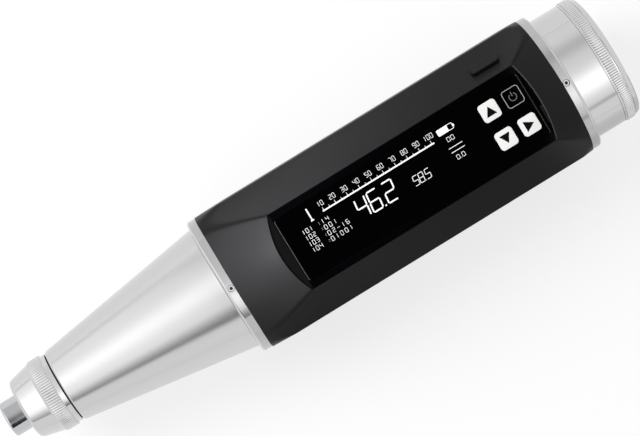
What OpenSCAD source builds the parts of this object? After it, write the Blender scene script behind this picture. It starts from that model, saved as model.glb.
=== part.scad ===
// Digital rebound hammer for testing concrete, with its plunger pushed in.
// The tool's axis runs along X: nose towards -X, rear cap towards +X.
// The display faces up, and the tool lies on the flat back of its grip.
// Inside the modules, stations along X count from the plunger's tip and
// the tool's axis is y = 0, z = 0; placed() moves that into the part's frame.

/* [Plunger] */
// Diameter of the impact plunger
plunger_d = 15; // [12:0.5:16]
// Length that stands out of the nose cap when the plunger is pushed in
plunger_stub = 8.8; // [6:0.1:12]
// Length of the impact plunger
plunger_length = 114; // [110:0.5:116]
// Travel of the plunger
stroke = 75; // [60:1:75]
// Diameter of the collar at the plunger's inner end
plunger_collar_d = 18; // [17:0.25:18.5]
// Length of that collar
plunger_collar_length = 5; // [3:0.5:7]
// Radius of the crown on the striking end
plunger_crown_r = 24; // [16:1:60]
// Rounding of the striking end's edge
plunger_edge_r = 1.5; // [0.5:0.1:3]

/* [Nose] */
// Length of the nose cap
cap_length = 18; // [17:0.5:22]
// Diameter of the nose cap's front face
cap_face_d = 22.7; // [21:0.1:24]
// Diameter where the nose cap's taper ends
cap_taper_d = 30.2; // [29:0.1:31]
// Diameter over the nose cap's knurl
cap_knurl_d = 31.6; // [30.8:0.1:33]
// Length of the nose cap's knurl
cap_knurl_length = 5.6; // [4:0.1:6]
// Number of teeth on the nose cap's knurl
cap_knurl_teeth = 90; // [60:2:110]
// Diameter of the ring behind the knurl
cap_neck_d = 30.1; // [29:0.1:31]
// Length of the nose cone
cone_length = 75; // [72:0.5:80]
// Diameter of the cone's front edge
cone_front_d = 31.6; // [30:0.1:33]
// Step of the cone's rear edge over its spigot
cone_step = 0.9; // [0.5:0.1:1.5]

/* [Grip housing] */
// Width and height of the grip between its flats
housing_width = 60; // [59:0.25:64]
// Length of the grip
housing_length = 149.4; // [147:0.2:156]
// Width of the flat that carries the display
top_flat_width = 32; // [31:0.25:34]
// Wall of the grip
housing_wall = 2.5; // [2:0.1:2.7]
// Radius of the hollow flare at the front end
front_flare_r = 97; // [80:1:120]
// Radius of the hollow flare at the rear end
rear_flare_r = 43; // [40:0.5:50]
// Step from the grip's flats down to the collars at its ends
collar_inset = 0.15; // [0.05:0.05:0.75]
// Wall of each collar
collar_wall = 3.85; // [3.5:0.05:4.2]
// Length of each collar
collar_length = 4.2; // [4:0.1:6]

/* [Display and keys] */
// Length of the display panel
panel_length = 110.2; // [109.5:0.1:110.6]
// Width of the display panel
panel_width = 27.5; // [27:0.1:28.5]
// Thickness of the display panel
panel_thickness = 1.2; // [1:0.05:1.3]
// Side of a key
key_side = 7.65; // [7:0.05:8]
// Distance between the keys' centres along the grip
key_pitch_x = 10.5; // [10.2:0.1:11]
// Distance between the keys' centres across the grip
key_pitch_y = 12.6; // [11.5:0.1:13]
// Travel of a key
key_travel = 0.5; // [0.3:0.05:0.6]

/* [Rear end] */
// Step of the rear barrel over its spigot
barrel_step = 0.8; // [0.5:0.1:1.2]
// Length of the rear barrel that shows
barrel_length = 13.1; // [12.5:0.1:18]
// Length of the rear cap that shows
rear_cap_length = 7.3; // [6.8:0.1:9]
// Rise of the rear cap's knurl over the barrel
rear_knurl_rise = 0.3; // [0.1:0.1:0.9]
// Number of teeth on the rear cap's knurl
rear_knurl_teeth = 160; // [120:2:180]

/* [Mechanism] */
// Wall of the spigots round the inner tube
spigot_wall = 2; // [1.75:0.05:2.25]
// Wall of the inner tube
tube_wall = 3; // [2.6:0.1:3.2]
// Gap between the hammer mass and the inner tube
mass_gap = 2; // [1.75:0.25:4]
// Length of the hammer mass without its boss and neck
mass_length = 40; // [36:0.5:41]
// Diameter of the guide bar
bar_d = 8; // [7:0.25:8.5]
// Thickness of the guide disk
disk_thickness = 6; // [5:0.25:6.5]
// Wire of the impact spring
impact_wire = 2.2; // [1.6:0.1:2.4]
// Turns of the impact spring
impact_turns = 27; // [20:1:30]
// Wire of the pressure spring
pressure_wire = 1.2; // [1:0.1:1.4]
// Turns of the pressure spring
pressure_turns = 12; // [8:1:13]

/* [Hidden] */
$fn = 96;
flare_fn = 240;

// Clearances and overruns
overrun = 1;
fit_gap = 0.05;
running_gap = 0.3;
spring_end_gap = 0.3;

// Diameters that follow the grip's width, from the collars inwards
collar_d = housing_width - 2 * collar_inset;
rear_spigot_d = collar_d - 2 * collar_wall;
cone_rear_d = rear_spigot_d + 2 * cone_step;
barrel_d = rear_spigot_d + 2 * barrel_step;
rear_knurl_d = barrel_d + 2 * rear_knurl_rise;
tube_d = rear_spigot_d - 2 * spigot_wall;
tube_bore_d = tube_d - 2 * tube_wall;
mass_d = tube_bore_d - 2 * mass_gap;

// Stations of the outer pieces, from the plunger's tip
cap_front = plunger_stub;
cone_front = cap_front + cap_length;
front_collar_front = cone_front + cone_length;
housing_front = front_collar_front + collar_length;
housing_rear = housing_front + housing_length;
barrel_shoulder = housing_rear + collar_length;
rear_cap_front = barrel_shoulder + barrel_length;
overall_length = rear_cap_front + rear_cap_length;

// Plunger
plunger_edge_start_angle = -60;

// Nose: cap, felt washer, two-part ring and guide sleeve
plunger_hole_d = plunger_d + 2 * running_gap;
cap_wall = 4.2;
cap_edge_r = 1.9;
cap_edge_end_angle = -13;
cap_taper_end = 9.5;
cap_step = 0.3;
cap_knurl_start = 10.3;
knurl_depth = 0.45;
knurl_margin = 0.2;
nose_pack_d = 24;
felt_thickness = 2.5;
ring_thickness = 2;
ring_slit = 0.6;
sleeve_flange = 1.5;
felt_front = cap_front + cap_wall;
ring_front = felt_front + felt_thickness;
sleeve_front = ring_front + ring_thickness;
spigot_front = sleeve_front + sleeve_flange;
cone_spigot_d = 26;
sleeve_d = 22;
sleeve_seat_length = 9;
sleeve_tail_length = 5.4;
sleeve_seat_end = spigot_front + sleeve_seat_length;
sleeve_rear = sleeve_seat_end + sleeve_tail_length;

// Cone
cone_edge_r = 1.2;
cone_land = 0.4;
cone_spring_bore_d = 27;
cone_wide_bore_d = 36;
cone_wide_start_share = 0.47;
rear_spigot_length = 10.2;
tube_seat_depth = 7.8;
tube_front = front_collar_front - tube_seat_depth;
spigot_rear = front_collar_front + rear_spigot_length;

// Collars and their set screws
collar_edge_r = 1.2;
set_screw_d = 2.5;
set_screw_sink = 0.35;
set_screw_socket = 1.3;
set_screw_socket_depth = 1.2;
set_screw_count = 3;
set_screw_shift = 0.55;

// Grip housing: flats at one distance from the axis, trimmed by hollow flares
housing_half = housing_width / 2;
top_flat_half = top_flat_width / 2;
facet_half_tan = (housing_half - top_flat_half) / (housing_half + top_flat_half);
facet_angle = 2 * atan(facet_half_tan);
shoulder_rise = 6;
flare_end_lift = 0.1;
flare_end_r = housing_half + flare_end_lift;
front_flare_lead = 4.4;
rear_flare_lead = 6.5;
end_bore_d = rear_spigot_d + 2 * fit_gap;
cavity_half = housing_half - housing_wall;

// Display pocket
panel_edge_gap = 0.3;
pocket_setback = 25.5;
floor_front = housing_front + pocket_setback;
floor_rear = floor_front + panel_length + 2 * panel_edge_gap;
pocket_front_run = 4.1;
pocket_front_rise = 3.5;
pocket_rear_run = 2;
pocket_rear_rise = 3.4;
panel_sink = 0.15;
panel_corner_r = 1.5;
panel_fit = 0.1;
panel_ledge = 1.6;
panel_rear_ledge = 0.9;
panel_front = floor_front + panel_edge_gap;
panel_rear = panel_front + panel_length;
panel_top = housing_half - panel_sink;
panel_bottom = panel_top - panel_thickness;
opening_front = panel_front + panel_ledge;
opening_rear = panel_rear - panel_rear_ledge;
opening_half = panel_width / 2 - panel_ledge;
cavity_lead = 1.5;
cavity_front = floor_front - cavity_lead;
cavity_rear = floor_rear;

// Keys: centres measured back from the panel's rear edge
key_corner_r = 1.4;
key_gap = 0.25;
key_proud = 0.45;
key_rear_margin = 5.7;
key_rear_x = panel_rear - key_rear_margin;
key_front_x = key_rear_x - key_pitch_x;
key_half_y = key_pitch_y / 2;
key_flange = 0.6;
key_flange_thickness = 0.6;
key_flange_gap = 0.35;
key_flange_top = panel_bottom - key_flange_gap;
key_flange_bottom = key_flange_top - key_flange_thickness;
key_places = [
    [key_front_x, key_half_y], [key_rear_x, key_half_y],
    [key_front_x, -key_half_y], [key_rear_x, -key_half_y]
];

// Display module, circuit board, switches and battery
module_gap = 0.25;
module_thickness = 2;
module_length = 84.4;
board_lift = 0.4;
board_thickness = 1.6;
board_edge_gap = 0.4;
board_bottom = tube_d / 2 + board_lift;
board_top = board_bottom + board_thickness;
board_half = (cavity_half - board_top * sin(facet_angle)) / cos(facet_angle) - board_edge_gap;
board_end_gap = 0.8;
switch_d = 4;
switch_gap = 0.2;
switch_top = key_flange_bottom - key_travel - switch_gap;
battery_length = 60;
battery_width = 28;
battery_setback = 44;
battery_start = housing_front + battery_setback;
battery_gap = 0.3;

// Data socket and its rubber plug on the upper facet towards +Y
usb_setback = 127.8;
usb_x = housing_front + usb_setback;
usb_offset = 6.4;
usb_width = 8;
usb_height = 3;
usb_depth = 5.1;
usb_sink = 0.4;
usb_shell = 0.5;
usb_back = 0.6;
plug_length = 12.2;
plug_width = 5.6;
plug_height = 2.2;
plug_corner_r = 1.6;
plug_lift = 0.05;
plug_nib_gap = 0.25;
plug_nib_depth = 3;
plug_notch_length = 6.4;
plug_notch_depth = 0.9;
plug_notch_height = 1.5;

// Inner tube and the rider's slot on its +Y side
barrel_seat = 9.2;
barrel_front = barrel_shoulder - barrel_seat;
tube_overhang = 2.4;
tube_rear = barrel_shoulder + tube_overhang;
rider_length = 8;
rider_width = 4.8;
rider_inner_gap = 0.6;
rider_outer_gap = 0.4;
rider_setback = 30;
rider_front_x = housing_front + rider_setback;
rider_travel = stroke;
slot_end_gap = 2;
slot_side_gap = 0.6;
slot_front = rider_front_x - rider_length / 2 - slot_end_gap;
slot_rear = rider_front_x + rider_travel + rider_length / 2 + slot_end_gap;
rod_d = 1.8;
rod_seat = 4;
rod_y = (tube_d - tube_wall) / 2;
strip_thickness = 1.2;
strip_width = 8;
strip_end_gap = 1;
strip_front = cavity_front + strip_end_gap;

// Hammer mass, hooked at the rear end of its travel
mass_bore_d = bar_d + 2 * running_gap;
mass_boss_length = 5;
mass_edge = 1;
neck_d = 12;
neck_groove = 3.2;
lip_d = 17;
lip_length = 2.8;
boss_front = plunger_length + stroke;
mass_front = boss_front + mass_boss_length;
mass_rear = mass_front + mass_length;
neck_rear = mass_rear + neck_groove + lip_length;

// Guide disk, bar and plunger bore
disk_gap = 1;
disk_rim_gap = 0.4;
disk_front = neck_rear + disk_gap;
disk_rear = disk_front + disk_thickness;
disk_d = tube_bore_d - 2 * disk_rim_gap;
bar_hole_floor = 1;
bar_rear = disk_rear - bar_hole_floor;
bar_front = 66;
plunger_bore_d = 9;
plunger_bore_bottom = 56;
pin_d = 2.5;
pin_length = 20;

// Pawl: hook in front, pin in the middle, tail behind the disk
pawl_width = 4;
pawl_slot_gap = 0.5;
pawl_pivot_x = (disk_front + disk_rear) / 2;
pawl_pivot_z = 11;
pawl_arm_bottom = 9;
pawl_arm_top = 13;
pawl_claw_tip = 6.5;
pawl_claw_gap = 0.4;
pawl_swing_gap = 1.2;
pawl_tail_gap = 3.2;
pawl_tail = 2;
pawl_tail_tip = 1.6;
pawl_slot_bottom = 7.6;
pawl_slot_top = 15;
pawl_pin_d = 2;
pawl_pin_length = 9;
pawl_front = mass_rear + pawl_swing_gap;
pawl_claw_rear = mass_rear + neck_groove - pawl_claw_gap;
pawl_tail_front = disk_rear + pawl_tail_gap;
pawl_tail_rear = pawl_tail_front + pawl_tail;

// Springs
ring_sides = 6;
rings_per_turn = 8;
impact_mean_d = 22.4;
impact_front = sleeve_seat_end + spring_end_gap;
impact_rear = mass_front - spring_end_gap;
spring_seat_d = impact_mean_d * cos(180 / rings_per_turn) - impact_wire - 2 * running_gap;
pressure_mean_d = 30;
cushion_wire = 1;
cushion_turns = 4;
cushion_mean_d = 6.6;
pawl_spring_wire = 0.4;
pawl_spring_turns = 3;
pawl_spring_mean_d = 2.6;
pawl_spring_z = 4.6;
lock_spring_wire = 0.35;
lock_spring_turns = 2;
lock_spring_mean_d = 6;

// Rear cap, trip screw and lock nut
cap_spigot_wall = 3;
rear_bevel = 0.4;
rear_knurl_length = 4;
rear_lip_inset = 0.1;
rear_lip_d = barrel_d - 2 * rear_lip_inset;
rear_groove_depth = 0.35;
rear_groove_width = 0.5;
rear_end_draft = 0.95;
rear_end_d = rear_lip_d - 2 * rear_end_draft;
rear_edge = 0.8;
rear_rim = 5.75;
rear_dish_d = rear_end_d - 2 * rear_rim;
rear_dish_depth = 3.4;
boss_d = 14;
boss_length = 5;
trip_d = 5;
trip_gap = 0.7;
trip_end_gap = 0.7;
trip_slot = 0.9;
trip_slot_depth = 1;
nut_across_flats = 8;
nut_thickness = 2.4;
cap_plate_rear = overall_length - rear_dish_depth;

// Lock button on the lower facet towards -Y, over the disk's rim
lock_x = (disk_front + disk_rear) / 2;
lock_d = 8;
lock_proud = 2.4;
lock_edge = 0.6;
lock_flange_d = 10;
lock_flange_gap = 0.8;
lock_flange_top = cavity_half - lock_flange_gap;
lock_flange_thickness = 0.7;
lock_stem_d = 4;
lock_stem_gap = 0.3;
lock_travel = 1.2;
lock_stem_tip = tube_bore_d / 2 + lock_stem_gap;
lock_slot_width = 5;
lock_slot_margin = 0.4;
lock_slot_depth = lock_travel + lock_slot_margin;

// Points of an arc in a profile
function arc(centre, radius, from, to, steps) = [
    for (i = [0 : steps])
        let (a = from + (to - from) * i / steps)
        [centre[0] + radius * cos(a), centre[1] + radius * sin(a)]
];

// Points of a rectangle with round corners, centred on the origin
function round_rectangle(length, width, radius, steps = 6) = [
    for (corner = [[1, 1, 0], [-1, 1, 90], [-1, -1, 180], [1, -1, 270]])
        each arc([corner[0] * (length / 2 - radius), corner[1] * (width / 2 - radius)],
            radius, corner[2], corner[2] + 90, steps)
];

// Points of a toothed outline for a straight knurl
function knurl(tip_r, depth, teeth) = [
    for (i = [0 : 2 * teeth - 1])
        let (a = 180 * i / teeth)
        (tip_r - (i % 2) * depth) * [cos(a), sin(a)]
];

// Section of the grip at a given distance of its flats, with a raised top
function grip_section(half, rise) =
    let (top = half + rise)
    let (top_y = (half - top * sin(facet_angle)) / cos(facet_angle))
    let (side_z = half * facet_half_tan)
    let (flat_y = half * top_flat_half / housing_half)
    [
        [top_y, top], [half, side_z], [half, -side_z], [flat_y, -half],
        [-flat_y, -half], [-half, -side_z], [-half, side_z], [-top_y, top]
    ];

// Middle line of a coil about X
function coil_line(radius, from, to, turns) = [
    for (i = [0 : turns * rings_per_turn])
        let (a = 360 * i / rings_per_turn)
        [from + (to - from) * i / (turns * rings_per_turn), radius * cos(a), radius * sin(a)]
];

// Least gap between one turn and the next, measured on the middle line
function coil_gap(line, wire) =
    min([for (i = [0 : len(line) - rings_per_turn - 1]) norm(line[i + rings_per_turn] - line[i])]) - wire;

module placed() {
    translate([-overall_length / 2, 0, housing_half]) children();
}

// Turned piece about the tool's axis, from points [radius, station]
module turned(profile) {
    rotate([0, 90, 0]) rotate_extrude() polygon(profile);
}

module rod_x(d, from, to) {
    translate([from, 0, 0]) rotate([0, 90, 0]) cylinder(d = d, h = to - from);
}

// Outline in y and z, run along X
module section_x(from, to) {
    translate([from, 0, 0]) rotate([90, 0, 90]) linear_extrude(to - from) children();
}

// Outline in x and z, run across Y about the axis
module plate_xz(width) {
    rotate([90, 0, 0]) linear_extrude(width, center = true) children();
}

// Local +Z is outwards from the upper facet towards +Y
module on_upper_facet(x) {
    translate([x, 0, 0]) rotate([facet_angle - 90, 0, 0]) children();
}

// Local +Z is outwards from the lower facet towards -Y
module on_lower_facet(x) {
    translate([x, 0, 0]) rotate([facet_angle + 90, 0, 0]) children();
}

// Box centred in x and y, from bottom to top
module block(length, width, bottom, top) {
    translate([-length / 2, -width / 2, bottom]) cube([length, width, top - bottom]);
}

// Round-wire coil about X, as one closed tube
module coil(mean_d, wire, from, to, turns) {
    line = coil_line(mean_d / 2, from + wire / 2, to - wire / 2, turns);
    last = len(line) - 1;
    points = [
        for (i = [0 : last])
            let (a = 360 * i / rings_per_turn)
            for (j = [0 : ring_sides - 1])
                let (b = 360 * j / ring_sides)
                line[i] + wire / 2 * [sin(b), cos(b) * cos(a), cos(b) * sin(a)]
    ];
    sides = [
        for (i = [0 : last - 1], j = [0 : ring_sides - 1])
            let (a = i * ring_sides + j, b = i * ring_sides + (j + 1) % ring_sides)
            each [[a, b, b + ring_sides], [a, b + ring_sides, a + ring_sides]]
    ];
    first_cap = [for (j = [1 : ring_sides - 2]) [0, j + 1, j]];
    end = last * ring_sides;
    last_cap = [for (j = [1 : ring_sides - 2]) [end, end + j, end + j + 1]];
    echo(coil_gap = coil_gap(line, wire));
    polyhedron(points, concat(sides, first_cap, last_cap));
}

module impact_plunger() {
    crown = plunger_crown_r - sqrt(pow(plunger_crown_r, 2) - pow(plunger_d / 2 - plunger_edge_r, 2));
    color("gainsboro") placed() difference() {
        turned(concat(
            arc([0, plunger_crown_r], plunger_crown_r, -90,
                -90 + asin((plunger_d / 2 - plunger_edge_r) / plunger_crown_r), 8),
            arc([plunger_d / 2 - plunger_edge_r, crown + plunger_edge_r], plunger_edge_r,
                plunger_edge_start_angle, 0, 5),
            [
                [plunger_d / 2, plunger_length - plunger_collar_length],
                [plunger_collar_d / 2, plunger_length - plunger_collar_length],
                [plunger_collar_d / 2, plunger_length], [0, plunger_length]
            ]));
        rod_x(plunger_bore_d, plunger_bore_bottom, plunger_length + overrun);
    }
}

module cushion_spring() {
    color("lightgrey") placed()
        coil(cushion_mean_d, cushion_wire, plunger_bore_bottom + spring_end_gap,
            bar_front - spring_end_gap, cushion_turns);
}

module nose_cap() {
    edge_centre = [cap_face_d / 2, cap_front + cap_edge_r];
    knurl_front = cap_front + cap_knurl_start;
    knurl_rear = knurl_front + cap_knurl_length;
    root_r = cap_knurl_d / 2 - knurl_depth;
    color("silver") placed() difference() {
        union() {
            turned(concat(
                [[0, cap_front]],
                arc(edge_centre, cap_edge_r, -90, cap_edge_end_angle, 7),
                [
                    [cap_taper_d / 2, cap_front + cap_taper_end],
                    [cap_taper_d / 2 - cap_step, cap_front + cap_taper_end + cap_step],
                    [root_r - knurl_margin, knurl_front], [root_r - knurl_margin, knurl_rear],
                    [cap_neck_d / 2, knurl_rear], [cap_neck_d / 2, cone_front], [0, cone_front]
                ]));
            section_x(knurl_front, knurl_rear)
                polygon(knurl(cap_knurl_d / 2, knurl_depth, cap_knurl_teeth));
        }
        rod_x(plunger_hole_d, cap_front - overrun, cone_front);
        rod_x(nose_pack_d + 2 * fit_gap, felt_front, cone_front);
        rod_x(cone_spigot_d + 2 * fit_gap, spigot_front, cone_front + overrun);
    }
}

module felt_washer() {
    color("tan") placed() difference() {
        rod_x(nose_pack_d, felt_front, ring_front);
        rod_x(plunger_hole_d, felt_front - overrun, ring_front + overrun);
    }
}

module split_ring() {
    color("dimgray") placed() difference() {
        rod_x(nose_pack_d, ring_front, sleeve_front);
        rod_x(plunger_hole_d, ring_front - overrun, sleeve_front + overrun);
        translate([(ring_front + sleeve_front) / 2, 0, 0])
            cube([ring_thickness + 2 * overrun, nose_pack_d + 2 * overrun, ring_slit], center = true);
    }
}

module guide_sleeve() {
    color("goldenrod") placed() difference() {
        union() {
            rod_x(nose_pack_d, sleeve_front, spigot_front);
            rod_x(sleeve_d, sleeve_front, sleeve_seat_end);
            rod_x(spring_seat_d, sleeve_front, sleeve_rear);
        }
        rod_x(plunger_hole_d, sleeve_front - overrun, sleeve_rear + overrun);
    }
}

module nose_cone() {
    wide_start = cone_front + cone_length * cone_wide_start_share;
    edge_centre = [cone_front_d / 2 - cone_edge_r, cone_front + cone_land + cone_edge_r];
    color("silver") placed() difference() {
        turned(concat(
            [[0, spigot_front], [cone_spigot_d / 2, spigot_front], [cone_spigot_d / 2, cone_front]],
            [[edge_centre[0] - cone_land, cone_front], [edge_centre[0] - cone_land, cone_front + cone_land]],
            arc(edge_centre, cone_edge_r, -90, 0, 6),
            [
                [cone_rear_d / 2, front_collar_front], [rear_spigot_d / 2, front_collar_front],
                [rear_spigot_d / 2, spigot_rear], [0, spigot_rear]
            ]));
        rod_x(sleeve_d + 2 * fit_gap, spigot_front - overrun, wide_start);
        rod_x(cone_spring_bore_d, sleeve_seat_end, wide_start + overrun);
        rod_x(cone_wide_bore_d, wide_start, tube_front + overrun);
        rod_x(tube_d + 2 * fit_gap, tube_front, spigot_rear + overrun);
    }
}

// Set screws of one collar stand round it, a little nearer to the grip, the first on top
module around_collar(front, facing) {
    screw_x = front + collar_length / 2 - facing * set_screw_shift;
    for (i = [0 : set_screw_count - 1])
        translate([screw_x, 0, 0]) rotate([360 * i / set_screw_count, 0, 0]) children();
}

module collar(front, facing) {
    edge_r = collar_d / 2 - collar_edge_r;
    rear = front + collar_length;
    rounded = facing < 0
        ? concat(arc([edge_r, front + collar_edge_r], collar_edge_r, -90, 0, 6), [[collar_d / 2, rear]])
        : concat([[collar_d / 2, front]], arc([edge_r, rear - collar_edge_r], collar_edge_r, 0, 90, 6));
    difference() {
        turned(concat([[0, front]], rounded, [[0, rear]]));
        rod_x(rear_spigot_d + 2 * fit_gap, front - overrun, rear + overrun);
        around_collar(front, facing) cylinder(d = set_screw_d + 2 * fit_gap, h = collar_d);
    }
}

module front_collar() {
    color("silver") placed() collar(front_collar_front, -1);
}

module rear_collar() {
    color("silver") placed() collar(housing_rear, 1);
}

module collar_screws() {
    top = collar_d / 2 - set_screw_sink;
    seat = rear_spigot_d / 2 + fit_gap;
    color("dimgray") placed() for (end = [[front_collar_front, -1], [housing_rear, 1]])
        around_collar(end[0], end[1]) difference() {
            translate([0, 0, seat]) cylinder(d = set_screw_d, h = top - seat);
            translate([0, 0, top - set_screw_socket_depth])
                cylinder(d = set_screw_socket / cos(30), h = set_screw_socket_depth + overrun, $fn = 6);
        }
}

// Solid of revolution whose hollow flares trim the grip's ends
module flare_envelope() {
    front_r = flare_end_r + sqrt(pow(front_flare_r, 2) - pow(front_flare_lead, 2));
    rear_r = flare_end_r + sqrt(pow(rear_flare_r, 2) - pow(rear_flare_lead, 2));
    rotate([0, 90, 0]) rotate_extrude($fn = flare_fn) difference() {
        translate([0, housing_front]) square([housing_width, housing_length]);
        translate([front_r, housing_front - front_flare_lead]) circle(r = front_flare_r, $fn = flare_fn);
        translate([rear_r, housing_rear + rear_flare_lead]) circle(r = rear_flare_r, $fn = flare_fn);
    }
}

// Space above the display's floor, between the sloped end walls
module pocket_space() {
    rise = shoulder_rise + overrun;
    plate_xz(housing_width) polygon([
        [floor_front, housing_half],
        [floor_front - rise * pocket_front_run / pocket_front_rise, housing_half + rise],
        [floor_rear + rise * pocket_rear_run / pocket_rear_rise, housing_half + rise],
        [floor_rear, housing_half]
    ]);
}

module usb_hole(gap, depth_from, depth_to) {
    on_upper_facet(usb_x) translate([0, -usb_offset, 0])
        block(usb_width + 2 * gap, usb_height + 2 * gap, depth_from, depth_to);
}

module grip_housing() {
    seat_end = spigot_rear + overrun;
    rear_seat = barrel_front - overrun;
    panel_mid = (panel_front + panel_rear) / 2;
    opening_mid = (opening_front + opening_rear) / 2;
    color("#2e2e30") placed() difference() {
        intersection() {
            section_x(housing_front, housing_rear) polygon(grip_section(housing_half, shoulder_rise));
            flare_envelope();
        }
        pocket_space();
        rod_x(end_bore_d, housing_front - overrun, housing_rear + overrun);
        rod_x(2 * cavity_half - 2 * fit_gap, seat_end, rear_seat);
        section_x(cavity_front, cavity_rear) polygon(grip_section(cavity_half, 0));
        translate([panel_mid, 0, panel_bottom]) linear_extrude(housing_half)
            polygon(round_rectangle(
                panel_length + 2 * panel_fit, panel_width + 2 * panel_fit, panel_corner_r
            ));
        translate([opening_mid, 0, 0])
            block(opening_rear - opening_front, 2 * opening_half, 0, housing_half);
        usb_hole(fit_gap, cavity_half - housing_wall, housing_width);
        on_lower_facet(lock_x) cylinder(d = lock_d + 2 * running_gap, h = housing_width);
    }
}

module display_panel() {
    hole = key_side + 2 * key_gap;
    color("black") placed() translate([0, 0, panel_bottom]) difference() {
        translate([(panel_front + panel_rear) / 2, 0, 0]) linear_extrude(panel_thickness)
            polygon(round_rectangle(panel_length, panel_width, panel_corner_r));
        for (place = key_places)
            translate([place[0], place[1], -overrun]) linear_extrude(panel_thickness + 2 * overrun)
                polygon(round_rectangle(hole, hole, key_corner_r + key_gap));
    }
}

module display_module() {
    color("midnightblue") placed()
        translate([opening_front + module_gap + module_length / 2, 0, 0])
            block(
                module_length, 2 * (opening_half - module_gap),
                panel_bottom - module_thickness, panel_bottom
            );
}

module circuit_board() {
    color("darkgreen") placed()
        translate([(cavity_front + cavity_rear) / 2, 0, 0])
            block(cavity_rear - cavity_front - 2 * board_end_gap, 2 * board_half, board_bottom, board_top);
}

module key_switches() {
    color("gray") placed() for (place = key_places)
        translate([place[0], place[1], board_top]) cylinder(d = switch_d, h = switch_top - board_top);
}

module key(place, tint) {
    flange = key_side + 2 * key_flange;
    color(tint) placed() translate([place[0], place[1], 0]) {
        translate([0, 0, key_flange_bottom]) linear_extrude(panel_top + key_proud - key_flange_bottom)
            polygon(round_rectangle(key_side, key_side, key_corner_r));
        translate([0, 0, key_flange_bottom]) linear_extrude(key_flange_thickness)
            polygon(round_rectangle(flange, flange, key_corner_r));
    }
}

module up_key() {
    key(key_places[0], "white");
}

module power_key() {
    key(key_places[1], "black");
}

module down_key() {
    key(key_places[2], "white");
}

module right_key() {
    key(key_places[3], "white");
}

module usb_socket() {
    mouth = housing_half - usb_sink;
    color("silver") placed() difference() {
        usb_hole(0, mouth - usb_depth, mouth);
        usb_hole(-usb_shell, mouth - usb_depth + usb_back, mouth + overrun);
    }
}

module usb_plug() {
    foot = housing_half + plug_lift;
    top = foot + plug_height;
    nib_shrink = usb_shell + plug_nib_gap;
    color("#1c1c1e") placed() on_upper_facet(usb_x) translate([0, -usb_offset, 0]) {
        difference() {
            translate([0, 0, foot]) linear_extrude(plug_height)
                polygon(round_rectangle(plug_length, plug_width, plug_corner_r));
            translate([0, -plug_width / 2, 0])
                block(plug_notch_length, 2 * plug_notch_depth, top - plug_notch_height, top + overrun);
        }
        block(
            usb_width - 2 * nib_shrink, usb_height - 2 * nib_shrink,
            foot - plug_nib_depth, foot + plug_lift
        );
    }
}

module battery() {
    top = -tube_d / 2 - battery_gap;
    color("slategray") placed() translate([battery_start + battery_length / 2, 0, 0])
        block(battery_length, battery_width, -cavity_half, top);
}

module inner_tube() {
    slot_width = rider_width + 2 * slot_side_gap;
    color("lightsteelblue") placed() difference() {
        rod_x(tube_d, tube_front, tube_rear);
        rod_x(tube_bore_d, tube_front - overrun, tube_rear + overrun);
        translate([slot_front, 0, -slot_width / 2]) cube([slot_rear - slot_front, tube_d, slot_width]);
        translate([0, rod_y, 0]) rod_x(rod_d + 2 * fit_gap, slot_front - rod_seat, slot_rear + rod_seat);
        on_lower_facet(lock_x) cylinder(d = lock_stem_d + 2 * running_gap, h = tube_d);
    }
}

module rear_barrel() {
    color("silver") placed() difference() {
        union() {
            rod_x(rear_spigot_d, barrel_front, rear_cap_front);
            rod_x(barrel_d, barrel_shoulder, rear_cap_front);
        }
        rod_x(tube_d + 2 * fit_gap, barrel_front - overrun, rear_cap_front + overrun);
    }
}

module rear_cap() {
    knurl_front = rear_cap_front + rear_bevel;
    knurl_rear = knurl_front + rear_knurl_length;
    root_r = rear_knurl_d / 2 - knurl_depth;
    groove_rear = knurl_rear + rear_groove_width;
    lip_r = rear_lip_d / 2;
    lip_rear = overall_length - rear_edge;
    color("silver") placed() difference() {
        union() {
            turned([
                [0, rear_cap_front], [barrel_d / 2 - rear_bevel, rear_cap_front],
                [root_r - knurl_margin, knurl_front], [root_r - knurl_margin, knurl_rear],
                [lip_r - rear_groove_depth, knurl_rear], [lip_r - rear_groove_depth, groove_rear],
                [lip_r, groove_rear], [rear_end_d / 2 + rear_edge / 2, lip_rear],
                [rear_end_d / 2, overall_length], [0, overall_length]
            ]);
            section_x(knurl_front, knurl_rear)
                polygon(knurl(rear_knurl_d / 2, knurl_depth, rear_knurl_teeth));
            difference() {
                rod_x(tube_d, tube_rear, knurl_front);
                rod_x(tube_d - 2 * cap_spigot_wall, tube_rear - overrun, rear_cap_front);
            }
            rod_x(boss_d, rear_cap_front - boss_length, knurl_front);
        }
        rod_x(rear_dish_d, cap_plate_rear, overall_length + overrun);
        rod_x(trip_d + 2 * fit_gap, rear_cap_front - boss_length - overrun, overall_length);
    }
}

module trip_screw() {
    rear = overall_length - trip_end_gap;
    color("dimgray") placed() difference() {
        rod_x(trip_d, pawl_tail_rear + trip_gap, rear);
        translate([rear - trip_slot_depth, -trip_d, -trip_slot / 2])
            cube([trip_slot_depth + overrun, 2 * trip_d, trip_slot]);
    }
}

module trip_lock_nut() {
    color("gray") placed() difference() {
        translate([cap_plate_rear, 0, 0]) rotate([0, 90, 0])
            cylinder(d = nut_across_flats / cos(30), h = nut_thickness, $fn = 6);
        rod_x(trip_d + 2 * fit_gap, cap_plate_rear - overrun, overall_length);
    }
}

module pressure_spring() {
    color("lightgrey") placed()
        coil(pressure_mean_d, pressure_wire, disk_rear + spring_end_gap,
            rear_cap_front - spring_end_gap, pressure_turns);
}

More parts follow.
